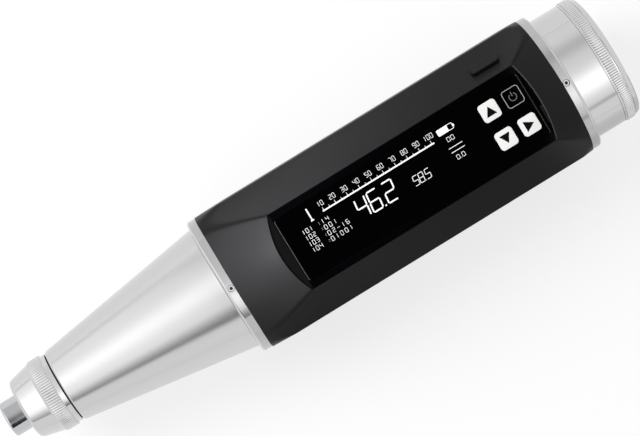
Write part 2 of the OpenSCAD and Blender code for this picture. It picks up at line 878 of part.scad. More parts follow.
module guide_disk() {
    rider_notch = rider_width + 2 * slot_side_gap;
    rider_floor = mass_d / 2;
    slot_floor = disk_d / 2 - lock_slot_depth;
    color("slategray") placed() difference() {
        rod_x(disk_d, disk_front, disk_rear);
        rod_x(bar_d + 2 * fit_gap, disk_front - overrun, bar_rear);
        translate([disk_front - overrun, rider_floor, -rider_notch / 2])
            cube([disk_thickness + 2 * overrun, disk_d, rider_notch]);
        on_lower_facet(lock_x)
            block(disk_thickness + 2 * overrun, lock_slot_width, slot_floor, disk_d);
        translate([pawl_pivot_x, 0, 0])
            block(
                disk_thickness + 2 * overrun, pawl_width + 2 * pawl_slot_gap,
                pawl_slot_bottom, pawl_slot_top
            );
        translate([pawl_pivot_x, 0, pawl_pivot_z]) rotate([90, 0, 0])
            cylinder(d = pawl_pin_d + 2 * fit_gap, h = pawl_pin_length + 2 * fit_gap, center = true);
        translate([pawl_pivot_x, 0, 0]) rotate([90, 0, 0])
            cylinder(d = pin_d + 2 * fit_gap, h = pin_length + 2 * fit_gap, center = true);
    }
}

module guide_bar() {
    color("gainsboro") placed() difference() {
        rod_x(bar_d, bar_front, bar_rear);
        translate([pawl_pivot_x, 0, 0]) rotate([90, 0, 0])
            cylinder(d = pin_d + 2 * fit_gap, h = 2 * bar_d, center = true);
    }
}

module disk_pin() {
    color("dimgray") placed() translate([pawl_pivot_x, 0, 0]) rotate([90, 0, 0])
        cylinder(d = pin_d, h = pin_length, center = true);
}

module pawl() {
    color("steelblue") placed() difference() {
        plate_xz(pawl_width) polygon([
            [pawl_front, pawl_claw_tip], [pawl_claw_rear, pawl_claw_tip], [pawl_claw_rear, pawl_arm_bottom],
            [pawl_tail_front, pawl_arm_bottom], [pawl_tail_front, pawl_tail_tip],
            [pawl_tail_rear, pawl_tail_tip], [pawl_tail_rear, pawl_arm_top], [pawl_front, pawl_arm_top]
        ]);
        translate([pawl_pivot_x, 0, pawl_pivot_z]) rotate([90, 0, 0])
            cylinder(d = pawl_pin_d + 2 * fit_gap, h = 2 * pawl_width, center = true);
    }
}

module pawl_pin() {
    color("gainsboro") placed() translate([pawl_pivot_x, 0, pawl_pivot_z]) rotate([90, 0, 0])
        cylinder(d = pawl_pin_d, h = pawl_pin_length, center = true);
}

module pawl_spring() {
    color("lightgrey") placed() translate([0, 0, pawl_spring_z])
        coil(pawl_spring_mean_d, pawl_spring_wire, disk_rear + spring_end_gap,
            pawl_tail_front - spring_end_gap, pawl_spring_turns);
}

module hammer_mass() {
    mass_r = mass_d / 2;
    color("lightslategray") placed() difference() {
        turned([
            [0, boss_front], [spring_seat_d / 2, boss_front], [spring_seat_d / 2, mass_front],
            [mass_r - mass_edge, mass_front], [mass_r, mass_front + mass_edge],
            [mass_r, mass_rear - mass_edge], [mass_r - mass_edge, mass_rear],
            [neck_d / 2, mass_rear], [neck_d / 2, mass_rear + neck_groove],
            [lip_d / 2, mass_rear + neck_groove], [lip_d / 2, neck_rear], [0, neck_rear]
        ]);
        rod_x(mass_bore_d, boss_front - overrun, neck_rear + overrun);
    }
}

module impact_spring() {
    color("lightgrey") placed()
        coil(impact_mean_d, impact_wire, impact_front, impact_rear, impact_turns);
}

module rider() {
    inner_y = mass_d / 2 + rider_inner_gap;
    outer_y = cavity_half - strip_thickness - rider_outer_gap;
    color("orange") placed() difference() {
        translate([rider_front_x - rider_length / 2, inner_y, -rider_width / 2])
            cube([rider_length, outer_y - inner_y, rider_width]);
        translate([0, rod_y, 0])
            rod_x(rod_d + 2 * running_gap, rider_front_x - rider_length, rider_front_x + rider_length);
    }
}

module rider_rod() {
    color("gainsboro") placed() translate([0, rod_y, 0])
        rod_x(rod_d, slot_front - rod_seat, slot_rear + rod_seat);
}

module sensor_strip() {
    color("saddlebrown") placed()
        translate([strip_front, cavity_half - strip_thickness, -strip_width / 2])
            cube([slot_rear - strip_front, strip_thickness, strip_width]);
}

module lock_button() {
    top = housing_half + lock_proud;
    color("dimgray") placed() on_lower_facet(lock_x) {
        rotate_extrude() polygon([
            [0, lock_stem_tip], [lock_stem_d / 2, lock_stem_tip],
            [lock_stem_d / 2, lock_flange_top - lock_flange_thickness],
            [lock_flange_d / 2, lock_flange_top - lock_flange_thickness],
            [lock_flange_d / 2, lock_flange_top], [lock_d / 2, lock_flange_top],
            [lock_d / 2, top - lock_edge], [lock_d / 2 - lock_edge, top], [0, top]
        ]);
    }
}

module lock_spring() {
    color("lightgrey") placed() on_lower_facet(lock_x) rotate([0, -90, 0])
        coil(lock_spring_mean_d, lock_spring_wire, tube_d / 2 + spring_end_gap,
            lock_flange_top - lock_flange_thickness - spring_end_gap, lock_spring_turns);
}

impact_plunger();
cushion_spring();
nose_cap();
felt_washer();
split_ring();
guide_sleeve();
nose_cone();
front_collar();
rear_collar();
collar_screws();
grip_housing();
display_panel();
display_module();
circuit_board();
key_switches();
up_key();
down_key();
right_key();
power_key();
usb_socket();
usb_plug();
battery();
inner_tube();
rear_barrel();
rear_cap();
trip_screw();
trip_lock_nut();
pressure_spring();
guide_disk();
guide_bar();
disk_pin();
pawl();
pawl_pin();
pawl_spring();
hammer_mass();
impact_spring();
rider();
rider_rod();
sensor_strip();
lock_button();
lock_spring();
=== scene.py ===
"""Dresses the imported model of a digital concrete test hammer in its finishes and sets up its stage."""

import math

import bmesh
import bpy
import numpy as np
from bpy.props import FloatProperty, FloatVectorProperty, IntProperty, PointerProperty, StringProperty
from mathutils import Matrix, Vector


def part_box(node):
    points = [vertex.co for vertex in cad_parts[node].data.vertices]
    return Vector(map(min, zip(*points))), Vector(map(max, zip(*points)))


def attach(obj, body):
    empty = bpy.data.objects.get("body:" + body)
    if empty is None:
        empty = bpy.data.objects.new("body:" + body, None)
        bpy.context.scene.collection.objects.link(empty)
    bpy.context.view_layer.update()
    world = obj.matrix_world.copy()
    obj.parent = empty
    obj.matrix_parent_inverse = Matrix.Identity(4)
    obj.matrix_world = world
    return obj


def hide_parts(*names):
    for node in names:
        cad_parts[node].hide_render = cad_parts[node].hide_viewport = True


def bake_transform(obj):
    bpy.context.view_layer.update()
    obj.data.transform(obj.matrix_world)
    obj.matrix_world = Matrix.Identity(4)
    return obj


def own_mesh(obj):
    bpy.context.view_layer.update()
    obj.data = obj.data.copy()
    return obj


bl_info = {
    "name": "Concrete Test Hammer",
    "version": (1, 0, 0),
    "blender": (4, 5, 0),
    "location": "View3D > Sidebar > Test Hammer",
    "description": "Builds the finished surfaces, readout and stage of a digital concrete test hammer",
    "category": "Add Mesh",
}

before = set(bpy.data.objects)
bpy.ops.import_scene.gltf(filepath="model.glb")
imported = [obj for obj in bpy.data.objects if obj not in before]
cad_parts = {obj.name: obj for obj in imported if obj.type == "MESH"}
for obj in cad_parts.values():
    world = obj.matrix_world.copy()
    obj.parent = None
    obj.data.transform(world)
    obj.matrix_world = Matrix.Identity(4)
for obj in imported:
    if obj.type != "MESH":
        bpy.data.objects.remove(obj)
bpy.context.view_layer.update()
MM = 0.001
FAR = 1.0  # metres: further out than any face of the tool
SHARP_ANGLE = math.radians(32)
FRONT_LIT = "lit by the front lamp"


def linear(code):
    """Scene-linear colour, with alpha 1, of an sRGB hex value."""
    channels = np.array([int(code[i : i + 2], 16) for i in (1, 3, 5)]) / 255
    low = channels / 12.92
    high = ((channels + 0.055) / 1.055) ** 2.4
    return (*np.where(channels <= 0.04045, low, high).tolist(), 1.0)


def size(name, about, millimetres):
    """A length that a user may change, given in millimetres and kept in metres."""
    return FloatProperty(name=name, description=about, default=millimetres * MM, unit="LENGTH", precision=5)


def number(name, about, value, **options):
    """A plain number that a user may change."""
    return FloatProperty(name=name, description=about, default=value, **options)


def tooth_count(name, about, count):
    """A count of teeth that a user may change."""
    return IntProperty(name=name, description=about, default=count)


def tint(name, about, code):
    """A colour that a user may change."""
    return FloatVectorProperty(
        name=name, description=about, default=linear(code), size=4, subtype="COLOR", min=0.0, max=1.0
    )


class HammerFinishes(bpy.types.PropertyGroup):
    """Colours of the hammer's finishes."""

    aluminium: tint("Aluminium", "Turned aluminium of the nose and rear end", "#cbcbcc")
    crest: tint("Crests", "Crests of the knurls", "#d9d9da")
    # Valleys of the knurls, painted darker than the crests as shade
    valley_shade: tint("Valleys", "Between the teeth of the knurls", "#b4b4b5")
    collar: tint("Collar", "Plain turned aluminium of the collars", "#b6b6b7")
    tube: tint("Anodised tube", "Anodised aluminium of the inner tube", "#aeb2b8")
    polished: tint("Polished steel", "Ground and polished steel of the plunger and bars", "#c2c3c6")
    machined: tint("Machined steel", "Bright machined steel of the mechanism", "#9b9da1")
    # Oxide-blackened screws, also the painted shade in the set screws' sockets
    blackened: tint("Blackened steel", "Oxide-blackened screws", "#4a4a4d")
    wire: tint("Spring wire", "Drawn spring wire", "#a2a2a6")
    brass: tint("Brass", "Machined brass sleeve", "#d8b25a")
    felt: tint("Felt", "Wool felt washer", "#9c8f78")
    grip: tint("Grip", "Moulded plastic of the grip", "#1f1f20")
    # Polished black of the pocket, made darker still as painted shade of the recess
    pocket: tint("Pocket", "Smooth black of the display's pocket", "#020203")
    # Painted highlight: a lighter tone along the rounded lip of the pocket's rear wall
    lip: tint("Lip", "Worn lip of the pocket's rear wall", "#505051")
    window: tint("Window", "Gloss black window over the display", "#030304")
    key: tint("Key", "Moulded white keys", "#f8f8f7")
    # The plug's rubber: its sides kept dark as painted shade, its top lighter as painted light
    rubber: tint("Rubber", "Rubber plug of the data socket", "#070708")
    painted_lit_top: tint("Rubber with painted light", "Top of the plug, rubbed by fingers", "#1c1c1d")
    light_print: tint("Light print", "White of the readout", "#f4f5f5")
    grey_print: tint("Grey print", "Grey print on the power key", "#b0b1b2")
    sign_print: tint("Sign print", "Grey sign on the power key", "#6a6b6c")
    # Dark of oil in the seam, made darker as painted shade
    dark_print: tint("Dark print", "Black print on the white keys", "#050506")
    # Ground ends of the window, their light grey also a painted highlight on the bevel
    edge: tint("Ground edge", "Ground ends of the window", "#757678")
    oil_and_shade: tint("Oil", "Dark oil in grooves and sockets", "#131314")
    board: tint("Circuit board", "Green solder mask", "#1f5c37")
    rider: tint("Rider", "Grey acetal", "#9b9b9d")
    cell: tint("Cell wrap", "Wrap of the battery", "#8a93a0")
    plating: tint("Plating", "Nickel plating of the socket's shell", "#c9c7c0")


class HammerForms(bpy.types.PropertyGroup):
    """Sizes of the finished forms that the solids only sketch."""

    plunger_d: size("Plunger diameter", "Diameter of the plunger's rod", 15.0)
    plunger_crown: size("Plunger crown", "Radius of the plunger's domed end", 24.0)
    plunger_edge: size("Plunger edge", "Rounding between the dome and the rod", 0.8)
    cap_face_d: size("Cap face", "Diameter where the nose cap's face would meet its taper", 25.7)
    cap_edge: size("Cap edge", "Rounding of the nose cap's face", 1.9)
    cap_taper_d: size("Cap taper", "Diameter at the rear of the nose cap's taper", 30.2)
    cap_taper_length: size("Cap taper length", "Length of the nose cap's taper", 9.5)
    cap_knurl_start: size("Cap knurl start", "From the cap's face to its knurl", 10.3)
    cap_knurl_length: size("Cap knurl length", "Length of the nose cap's knurl", 5.6)
    cap_knurl_teeth: tooth_count("Cap knurl teeth", "Teeth round the nose cap", 90)
    knurl_depth: size("Knurl depth", "Depth of the straight knurls", 0.3)
    knurl_lead: size("Knurl lead", "Length over which a tooth rises at its ends", 0.35)
    cone_front_d: size("Cone front", "Diameter of the cone at its front edge", 31.2)
    cone_rear_d: size("Cone rear", "Diameter of the cone at the front collar", 53.8)
    cone_groove: size("Cone groove", "Width of the seam between cap and cone", 0.36)
    cone_edge: size("Cone edge", "Rounding of the cone's front edge", 1.2)
    collar_edge: size("Collar edge", "Rounding of the collars' outer edges", 1.2)
    screw_hole_d: size("Screw hole", "Diameter of the collars' set screw holes", 2.9)
    screw_d: size("Screw", "Diameter of the set screws", 2.5)
    screw_socket: size("Screw socket", "Width across the flats of the set screws' sockets", 1.3)
    screw_sink: size("Screw sink", "How far the set screws lie below the collars", 0.3)
    screw_shift: size("Screw shift", "From a collar's middle to its set screws, towards the grip", 0.55)
    broken_edge: size("Broken edge", "Rounding of an edge that is only broken", 0.2)
    barrel_d: size("Barrel", "Diameter of the rear barrel", 53.6)
    rear_knurl_length: size("Rear knurl length", "Length of the rear cap's knurl", 3.8)
    rear_knurl_teeth: tooth_count("Rear knurl teeth", "Teeth round the rear cap", 160)
    rear_dish_d: size("Rear dish", "Diameter of the dish in the rear cap", 40.0)
    rear_dish_depth: size("Rear dish depth", "Depth of the dish in the rear cap", 3.4)


class HammerGrip(bpy.types.PropertyGroup):
    """Shape of the grip: flats, hollow flares and the display's pocket."""

    half: size("Half width", "From the axis to each flat", 30.0)
    top_half: size("Half top", "Half the width of the top and bottom flats", 16.0)
    pocket_half: size("Half pocket", "Half the pocket's width, where it meets the upper facets", 17.0)
    # Width of the dark line of painted shade where the facets meet the flares
    crease_shade: size("Crease", "Width of the dark line where facets and flares meet", 0.42)
    soft: size("Ridge softness", "Distance over which two faces run into each other", 0.45)
    flare_start: size("Flare start", "Radius that the flares would have at the collars", 30.1)
    front_flare: size("Front flare", "Radius of the front end's hollow flare", 97.0)
    front_lead: size("Front lead", "From the flare's lowest point to the front end", 4.4)
    rear_flare: size("Rear flare", "Radius of the rear end's hollow flare", 43.0)
    rear_lead: size("Rear lead", "From the rear end to the flare's lowest point", 6.5)
    floor_front: size("Floor front", "From the front end to the pocket's floor", 25.5)
    floor_length: size("Floor length", "Length of the pocket's floor", 110.8)
    front_slope: number("Front slope", "Rise over run of the pocket's front wall", 3.5 / 4.1)
    rear_slope: number("Rear slope", "Rise over run of the pocket's rear wall", 3.4 / 2.0)
    wall: size("Wall", "Thickness of the grip's wall", 2.5)
    end_bore_d: size("End bore", "Diameter of the bores that take the spigots", 52.1)
    fit: size("Panel fit", "Gap round the window", 0.12)
    window_corner: size("Window corner", "Corner radius of the window", 1.5)
    window_bevel: size("Window bevel", "Polished bevel round the window", 0.3)
    key_side: size("Key side", "Width and length of a key", 7.65)
    key_corner: size("Key corner", "Corner radius of a key", 1.4)
    key_edge: size("Key edge", "Rounding of a key's top edge", 0.18)
    key_gap: size("Key gap", "Gap between a key and the window", 0.25)
    plug_offset: size("Plug offset", "From the facet's nearest line to the axis up to the plug", 6.4)
    plug_length: size("Plug length", "Length of the rubber plug", 12.2)
    plug_width: size("Plug width", "Width of the rubber plug", 5.6)
    plug_corner: size("Plug corner", "Corner radius of the rubber plug", 1.6)
    plug_edge: size("Plug edge", "Rounding of the plug's top edge", 0.5)
    notch_length: size("Notch length", "Length of the plug's finger notch", 6.4)
    notch_depth: size("Notch depth", "Depth of the plug's finger notch", 0.9)
    notch_height: size("Notch height", "Height of the plug's finger notch", 1.5)
    socket_length: size("Socket length", "Length of the data socket's opening", 8.1)
    socket_width: size("Socket width", "Width of the data socket's opening", 3.1)
    button_d: size("Lock button", "Diameter of the lock button", 8.0)
    button_hole_d: size("Lock hole", "Diameter of the lock button's hole", 8.6)


class HammerReadout(bpy.types.PropertyGroup):
    """What the display shows, in plain numbers."""

    reading: StringProperty(name="Reading", description="Large reading", default="46.2")
    second: StringProperty(name="Second reading", description="Small reading beside it", default="58.5")
    rows: StringProperty(
        name="Rows", description="Small rows at the left, parted by commas",
        default="101:14,102:001,103:02-16,104:01001",
    )
    reading_height: size("Reading height", "Height of the large reading", 8.0)
    second_height: size("Second height", "Height of the small reading", 3.8)
    row_height: size("Row height", "Height of the small rows", 1.7)
    scale_height: size("Scale height", "Height of the scale's numbers", 1.9)
    slant: number("Slant", "Lean of the figures, as run over rise", 0.12)
    print_rise: size("Print rise", "How far print stands above its ground", 0.03)


class HammerStage(bpy.types.PropertyGroup):
    """Camera, lamps and sky."""

    lens: number("Lens", "Focal length of the camera in millimetres", 148.2)
    distance: size("Distance", "From the camera to the tool", 1050.0)
    key_power: number("Key lamp", "Power of the broad lamp", 15.0, unit="POWER")
    front_power: number("Front lamp", "Power of the spot on the grip", 345.0, unit="POWER")
    sky: number("Sky", "Strength of the even light from all round", 0.5)


def settings():
    """The groups that shape the tool: finishes, forms, grip and readout."""
    scene = bpy.context.scene
    return scene.hammer_finishes, scene.hammer_forms, scene.hammer_grip, scene.hammer_readout


AXIS_Z = sum(corner[2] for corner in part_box("front_collar")) / 2
TOOL = (Vector((0, 0, AXIS_Z)), Vector((1, 0, 0)), Vector((0, 1, 0)), Vector((0, 0, 1)))


def stations(node):
    """Front and rear x of a CAD node."""
    low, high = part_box(node)
    return low.x, high.x


def reach(node):
    """Largest radius of a turned CAD node."""
    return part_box(node)[1].z - AXIS_Z


def centre_of(node):
    """Middle of a CAD node, seen from above."""
    low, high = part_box(node)
    return np.array(((low.x + high.x) / 2, (low.y + high.y) / 2, 0))


def facet_lean(half, top_half):
    """Angle between the side flat and the next oblique flat, half away from the axis like the top flat,
    whose half width is given: twice the angle whose tangent is (half - top half) / (half + top half)."""
    return 2 * math.atan((half - top_half) / (half + top_half))


def facet_place(node, side):
    """Origin on the axis at a node's middle, and an oblique flat's axes: along the tool, across, outwards.

    Side 1 is the upper flat towards +Y, side -1 the lower flat towards -Y.
    """
    _, _, grip, _ = settings()
    lean = facet_lean(grip.half, grip.top_half)
    along, out = Vector((1, 0, 0)), Vector((0, side * math.cos(lean), side * math.sin(lean)))
    return Vector((sum(stations(node)) / 2, 0, AXIS_Z)), along, out.cross(along), out


def placed(points, place):
    """Points (along, across, outwards) of a local frame, in the tool's frame."""
    origin, *axes = place
    return points @ np.array([list(axis) for axis in axes]) + np.array(origin)


def grid_faces(rows, columns, close_rows=False):
    """Quads between the lines of a grid whose columns close on themselves, and its rows too if asked."""
    index = np.arange(rows * columns).reshape(rows, columns)
    if close_rows:
        index = np.concatenate([index, index[:1]])
    index = np.concatenate([index, index[:, :1]], axis=1)
    return np.stack([index[:-1, :-1], index[:-1, 1:], index[1:, 1:], index[1:, :-1]], axis=-1).reshape(-1, 4)


def loft(rings):
    """Rings of equal count joined by quads, the first and last closed by one flat face each."""
    rows, columns = rings.shape[:2]
    ring = np.arange(columns)
    lids = [ring[::-1].tolist(), (ring + (rows - 1) * columns).tolist()]
    return rings.reshape(-1, 3), grid_faces(rows, columns).tolist() + lids


def rounded(corners, steps=8):
    """Outline through corners (x, y, radius), each replaced by an arc that touches both its sides.

    A corner (x, y) stays sharp. With u and v the unit vectors to the neighbours and h half the angle
    between them, the arc's centre lies radius / sin h along u + v, and it runs radius / tan h from the
    corner. One more point a quarter radius outside each end of the arc holds the shading of the sides.
    """
    corners = np.array([(*corner, 0)[:3] for corner in corners], float)
    point, radius = corners[:, :2], corners[:, 2:]
    back = np.roll(point, 1, 0) - point
    on = np.roll(point, -1, 0) - point
    back = back / np.linalg.norm(back, axis=1, keepdims=True)
    on = on / np.linalg.norm(on, axis=1, keepdims=True)
    middle = back + on
    middle = middle / np.maximum(np.linalg.norm(middle, axis=1, keepdims=True), 1e-9)
    half = np.arccos(np.clip(np.sum(back * on, axis=1, keepdims=True), -1, 1)) / 2
    run = np.where(radius > 0, radius / np.tan(np.maximum(half, 1e-6)), 0)
    centre = point + middle * radius / np.sin(np.maximum(half, 1e-6))
    start, end = point + back * run, point + on * run
    turn = np.maximum(np.pi - 2 * half, 1e-6)
    share = np.linspace(0, 1, steps + 1)
    first = (np.sin((1 - share) * turn) / np.sin(turn))[..., None]
    last = (np.sin(share * turn) / np.sin(turn))[..., None]
    arc = centre[:, None] + first * (start - centre)[:, None] + last * (end - centre)[:, None]
    before = (start + back * radius / 4)[:, None]
    after = (end + on * radius / 4)[:, None]
    outline = np.concatenate([before, arc, after], axis=1).reshape(-1, 2)
    moved = np.linalg.norm(np.diff(outline, axis=0, prepend=outline[-1:]), axis=1) > 1e-9
    return outline[moved]


def turned(profile, columns=256, place=TOOL, teeth=None, poles=False):
    """Surface of revolution: point (x, r) of the profile goes round the axis as r sin a, r cos a.

    teeth is (count, depth, from x, to x, root radius, lead): on the root between the two stations
    the radius grows by depth times a round-topped wave, sqrt(1/2 + 1/2 cos(count a)), that rises
    over lead at both ends. A profile with poles starts and ends on the axis.
    """
    angle = np.linspace(0, 2 * np.pi, columns, endpoint=False)
    x, radius = profile[:, :1], np.repeat(profile[:, 1:], columns, axis=1)
    if teeth:
        count, depth, front, rear, root, lead = teeth
        wave = np.sqrt(0.5 + 0.5 * np.cos(count * angle))
        rise = np.clip(np.minimum(x - front, rear - x) / lead, 0, 1) * (np.abs(profile[:, 1:] - root) < 1e-7)
        radius = radius + depth * rise * wave
    along = np.repeat(x, columns, axis=1)
    points = np.stack([along, radius * np.sin(angle), radius * np.cos(angle)], axis=-1)
    return placed(points.reshape(-1, 3), place), grid_faces(len(profile), columns, not poles).tolist()


def round_rectangle(length, width, corner, steps=10):
    """Rounded rectangle about the origin, anticlockwise."""
    x, y = length / 2, width / 2
    return rounded([(-x, -y, corner), (x, -y, corner), (x, y, corner), (-x, y, corner)], steps)


def levelled(lines):
    """Rings of points (x, y, level) from lines (outline, level) of equal count."""
    return np.stack([np.column_stack([outline, np.full(len(outline), level)]) for outline, level in lines])


def edge_rings(length, width, corner, levels):
    """Rings of a rounded rectangle at levels (height, inset): each is the outline drawn in by its inset."""
    least = 0.01 * MM
    return levelled([
        (round_rectangle(length - 2 * inset, width - 2 * inset, max(corner - inset, least)), height)
        for height, inset in levels
    ])


def eased(height, inset, radius, steps=5):
    """Levels (height, inset) of a quarter round that ends at height, from the wall at inset."""
    angle = np.linspace(0, np.pi / 2, steps + 1)
    return list(zip(height - radius + radius * np.sin(angle), inset + radius - radius * np.cos(angle)))


def plates(outlines, foot, top):
    """Flat prisms: each outline of k points (x, y) is carried from foot to top."""
    outlines = np.asarray(outlines, float)
    count, corners = outlines.shape[:2]
    level = np.broadcast_to(np.array([foot, top])[None, :, None, None], (count, 2, corners, 1))
    flat = np.broadcast_to(outlines[:, None], (count, 2, corners, 2))
    points = np.concatenate([flat, level], axis=-1).reshape(-1, 3)
    first = (np.arange(count) * 2 * corners)[:, None]
    ring = np.arange(corners)
    after = np.roll(ring, -1)
    sides = np.stack([ring, after, after + corners, ring + corners], axis=-1)[None] + first[..., None]
    lids = (first + ring[::-1]).tolist() + (first + corners + ring).tolist()
    return points, lids + sides.reshape(-1, 4).tolist()


def band(inner, outer, foot, top):
    """Flat ring between two outlines of equal count, from foot to top."""
    rings = levelled([(inner, foot), (outer, foot), (outer, top), (inner, top)])
    return rings.reshape(-1, 3), grid_faces(len(rings), len(inner), True).tolist()


def coil(start, axis, length, mean, wire, turns, rings=28, sides=14):
    """Spring wire: a circle carried along a helix of the mean diameter, closed flat at both ends.

    The helix is (t length, mean/2 cos, mean/2 sin), t being such that the first and the last turn lie
    close, and the circle stands in the plane of the radius and of the normal to radius and tangent.
    """
    axis = Vector(axis).normalized()
    side = Vector((0, 0, 1)) if abs(axis.x) > 0.9 else axis.orthogonal().normalized()
    across = axis.cross(side)
    turn = np.linspace(0, turns, int(turns * rings) + 1)
    closed = 1.03 * wire
    along = wire / 2 + np.interp(
        turn, [0, 1, turns - 1, turns], [0, closed, length - wire - closed, length - wire]
    )
    angle = 2 * np.pi * turn
    out = np.outer(np.cos(angle), side) + np.outer(np.sin(angle), across)
    path = np.array(start) + np.outer(along, axis) + mean / 2 * out
    tangent = np.gradient(path, axis=0)
    tangent = tangent / np.linalg.norm(tangent, axis=1, keepdims=True)
    up = np.cross(tangent, out)
    ring = np.linspace(0, 2 * np.pi, sides, endpoint=False)
    circle = np.cos(ring)[None, :, None] * out[:, None] + np.sin(ring)[None, :, None] * up[:, None]
    return loft(path[:, None] + wire / 2 * circle)


SEGMENTS = {
    "a": (0, 2, 1, 2), "b": (1, 2, 1, 1), "c": (1, 1, 1, 0), "d": (0, 0, 1, 0),
    "e": (0, 1, 0, 0), "f": (0, 2, 0, 1), "g": (0, 1, 1, 1), "h": (0.6, 2, 0.6, 1), "i": (0.6, 1, 0.6, 0),
}
FIGURES = {
    "0": "abcdef", "1": "hi", "2": "abged", "3": "abgcd", "4": "fgbc",
    "5": "afgcd", "6": "afgedc", "7": "abc", "8": "abcdefg", "9": "abcdfg", "-": "g",
}


def figures(text, left, base, height, stroke, levels, slant=0.0, wide=0.5, gap=2.2):
    """Seven-segment figures from a foot to a top level: each bar is a slim hexagon, sheared by slant times
    its height above the base. A figure is wide times its height, and the gap is counted in strokes."""
    width, step = wide * height, wide * height + gap * stroke
    bars, dots, x = [], [], left
    for mark in text:
        if mark in FIGURES:
            ends = np.array([SEGMENTS[name] for name in FIGURES[mark]], float).reshape(-1, 2, 2)
            bars.append(ends * (width, height / 2) + (x, base))
            x += step
        elif mark == " ":
            x += step
        else:
            rises = {".": (0.0,), ":": (0.3, 0.7)}[mark]
            dots += [(x - 0.1 * stroke, base + rise * height) for rise in rises]
            x += gap * stroke
    parts = []
    if bars:
        ends = np.concatenate(bars)
        first, last = ends[:, 0], ends[:, 1]
        along = (last - first) / np.linalg.norm(last - first, axis=1, keepdims=True)
        across = along[:, ::-1] * (-1, 1) * stroke / 2
        nick, lead = along * stroke * 0.12, along * stroke * 0.56
        hexagon = [first + nick, first + lead - across, last - lead - across,
                   last - nick, last - lead + across, first + lead + across]
        parts.append(np.stack(hexagon, axis=1))
    if dots:
        square = np.array([(-0.5, -0.5), (0, -0.5), (0.5, -0.5), (0.5, 0.5), (0, 0.5), (-0.5, 0.5)]) * stroke
        parts.append(np.array(dots)[:, None] + square)
    outlines = np.concatenate(parts)
    outlines[..., 0] += slant * (outlines[..., 1] - base)
    return plates(outlines, *levels)


def boxes(*spans):
    """Outlines of rectangles given as (x from, x to, y from, y to)."""
    x0, x1, y0, y1 = np.array(spans, float).T
    return np.stack([np.stack(pair, axis=-1) for pair in ((x0, y0), (x1, y0), (x1, y1), (x0, y1))], axis=1)


def mesh_of(name, *parts):
    """One mesh of all (points, faces) parts, with doubles merged, faces outwards and sharp edges marked."""
    starts = np.cumsum([0] + [len(points) for points, _ in parts])
    faces = [[corner + start for corner in face] for (_, some), start in zip(parts, starts) for face in some]
    mesh = bpy.data.meshes.new(name)
    mesh.from_pydata(np.concatenate([points for points, _ in parts]), [], faces)
    work = bmesh.new()
    work.from_mesh(mesh)
    bmesh.ops.remove_doubles(work, verts=work.verts, dist=1e-7)
    bmesh.ops.recalc_face_normals(work, faces=work.faces)
    work.to_mesh(mesh)
    work.free()
    shade(mesh)
    return mesh


def shade(mesh):
    """Smooth faces that break at edges sharper than the sharp angle."""
    mesh.shade_smooth()
    mesh.set_sharp_from_angle(angle=SHARP_ANGLE)


def piece(name, body, slot, kind, *parts, stands_for=(), cuts=()):
    """A piece with a finish that rides on a body and stands for CAD nodes.

    The slot is not used. Each of cuts is a (points, faces) solid that is taken out of it.
    """
    made = bpy.data.objects.new(name, mesh_of(name, *parts))
    bpy.context.scene.collection.objects.link(made)
    if cuts:
        cutter = bpy.data.objects.new(name + "_cutter", mesh_of(name + "_cutter", *cuts))
        bpy.context.scene.collection.objects.link(cutter)
        cut = made.modifiers.new("cut", "BOOLEAN")
        cut.object, cut.operation, cut.solver = cutter, "DIFFERENCE", "EXACT"
        graph = bpy.context.evaluated_depsgraph_get()
        mesh = bpy.data.meshes.new_from_object(made.evaluated_get(graph))
        made.modifiers.clear()
        made.data = mesh
        bpy.data.objects.remove(cutter)
        shade(mesh)
    made.data.materials.clear()
    made.data.materials.append(finish(kind))
    if body:
        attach(made, body)
    if stands_for:
        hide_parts(*stands_for)
    return made


def accent(made, kind, chosen):
    """Gives a piece's faces one more finish where chosen says so of their centres and normals."""
    faces = made.data.polygons
    centres, normals = np.empty(3 * len(faces)), np.empty(3 * len(faces))
    faces.foreach_get("center", centres)
    faces.foreach_get("normal", normals)
    index = np.empty(len(faces), np.int32)
    faces.foreach_get("material_index", index)
    made.data.materials.append(finish(kind))
    mask = chosen(centres.reshape(-1, 3), normals.reshape(-1, 3))
    faces.foreach_set("material_index", np.where(mask, len(made.data.materials) - 1, index).astype(np.int32))


def from_axis(points):
    """Distance of points from the tool's axis."""
    return np.hypot(points[:, 1], points[:, 2] - AXIS_Z)


def add(tree, kind, inputs=None, **options):
    """Adds a shader node with its options. An input takes a value, a socket or a node, of which the first
    output in use is linked."""
    node = tree.nodes.new("ShaderNode" + kind)
    for name, value in options.items():
        setattr(node, name, value)
    for name, value in (inputs or {}).items():
        if isinstance(value, bpy.types.Node):
            value = next(socket for socket in value.outputs if socket.enabled)
        if isinstance(value, bpy.types.NodeSocket):
            tree.links.new(value, node.inputs[name])
        else:
            node.inputs[name].default_value = value
    return node


def new_material(name):
    """A node material and its node tree, which is empty."""
    material = bpy.data.materials.new(name)
    material.use_nodes = True
    material.node_tree.nodes.clear()
    return material, material.node_tree


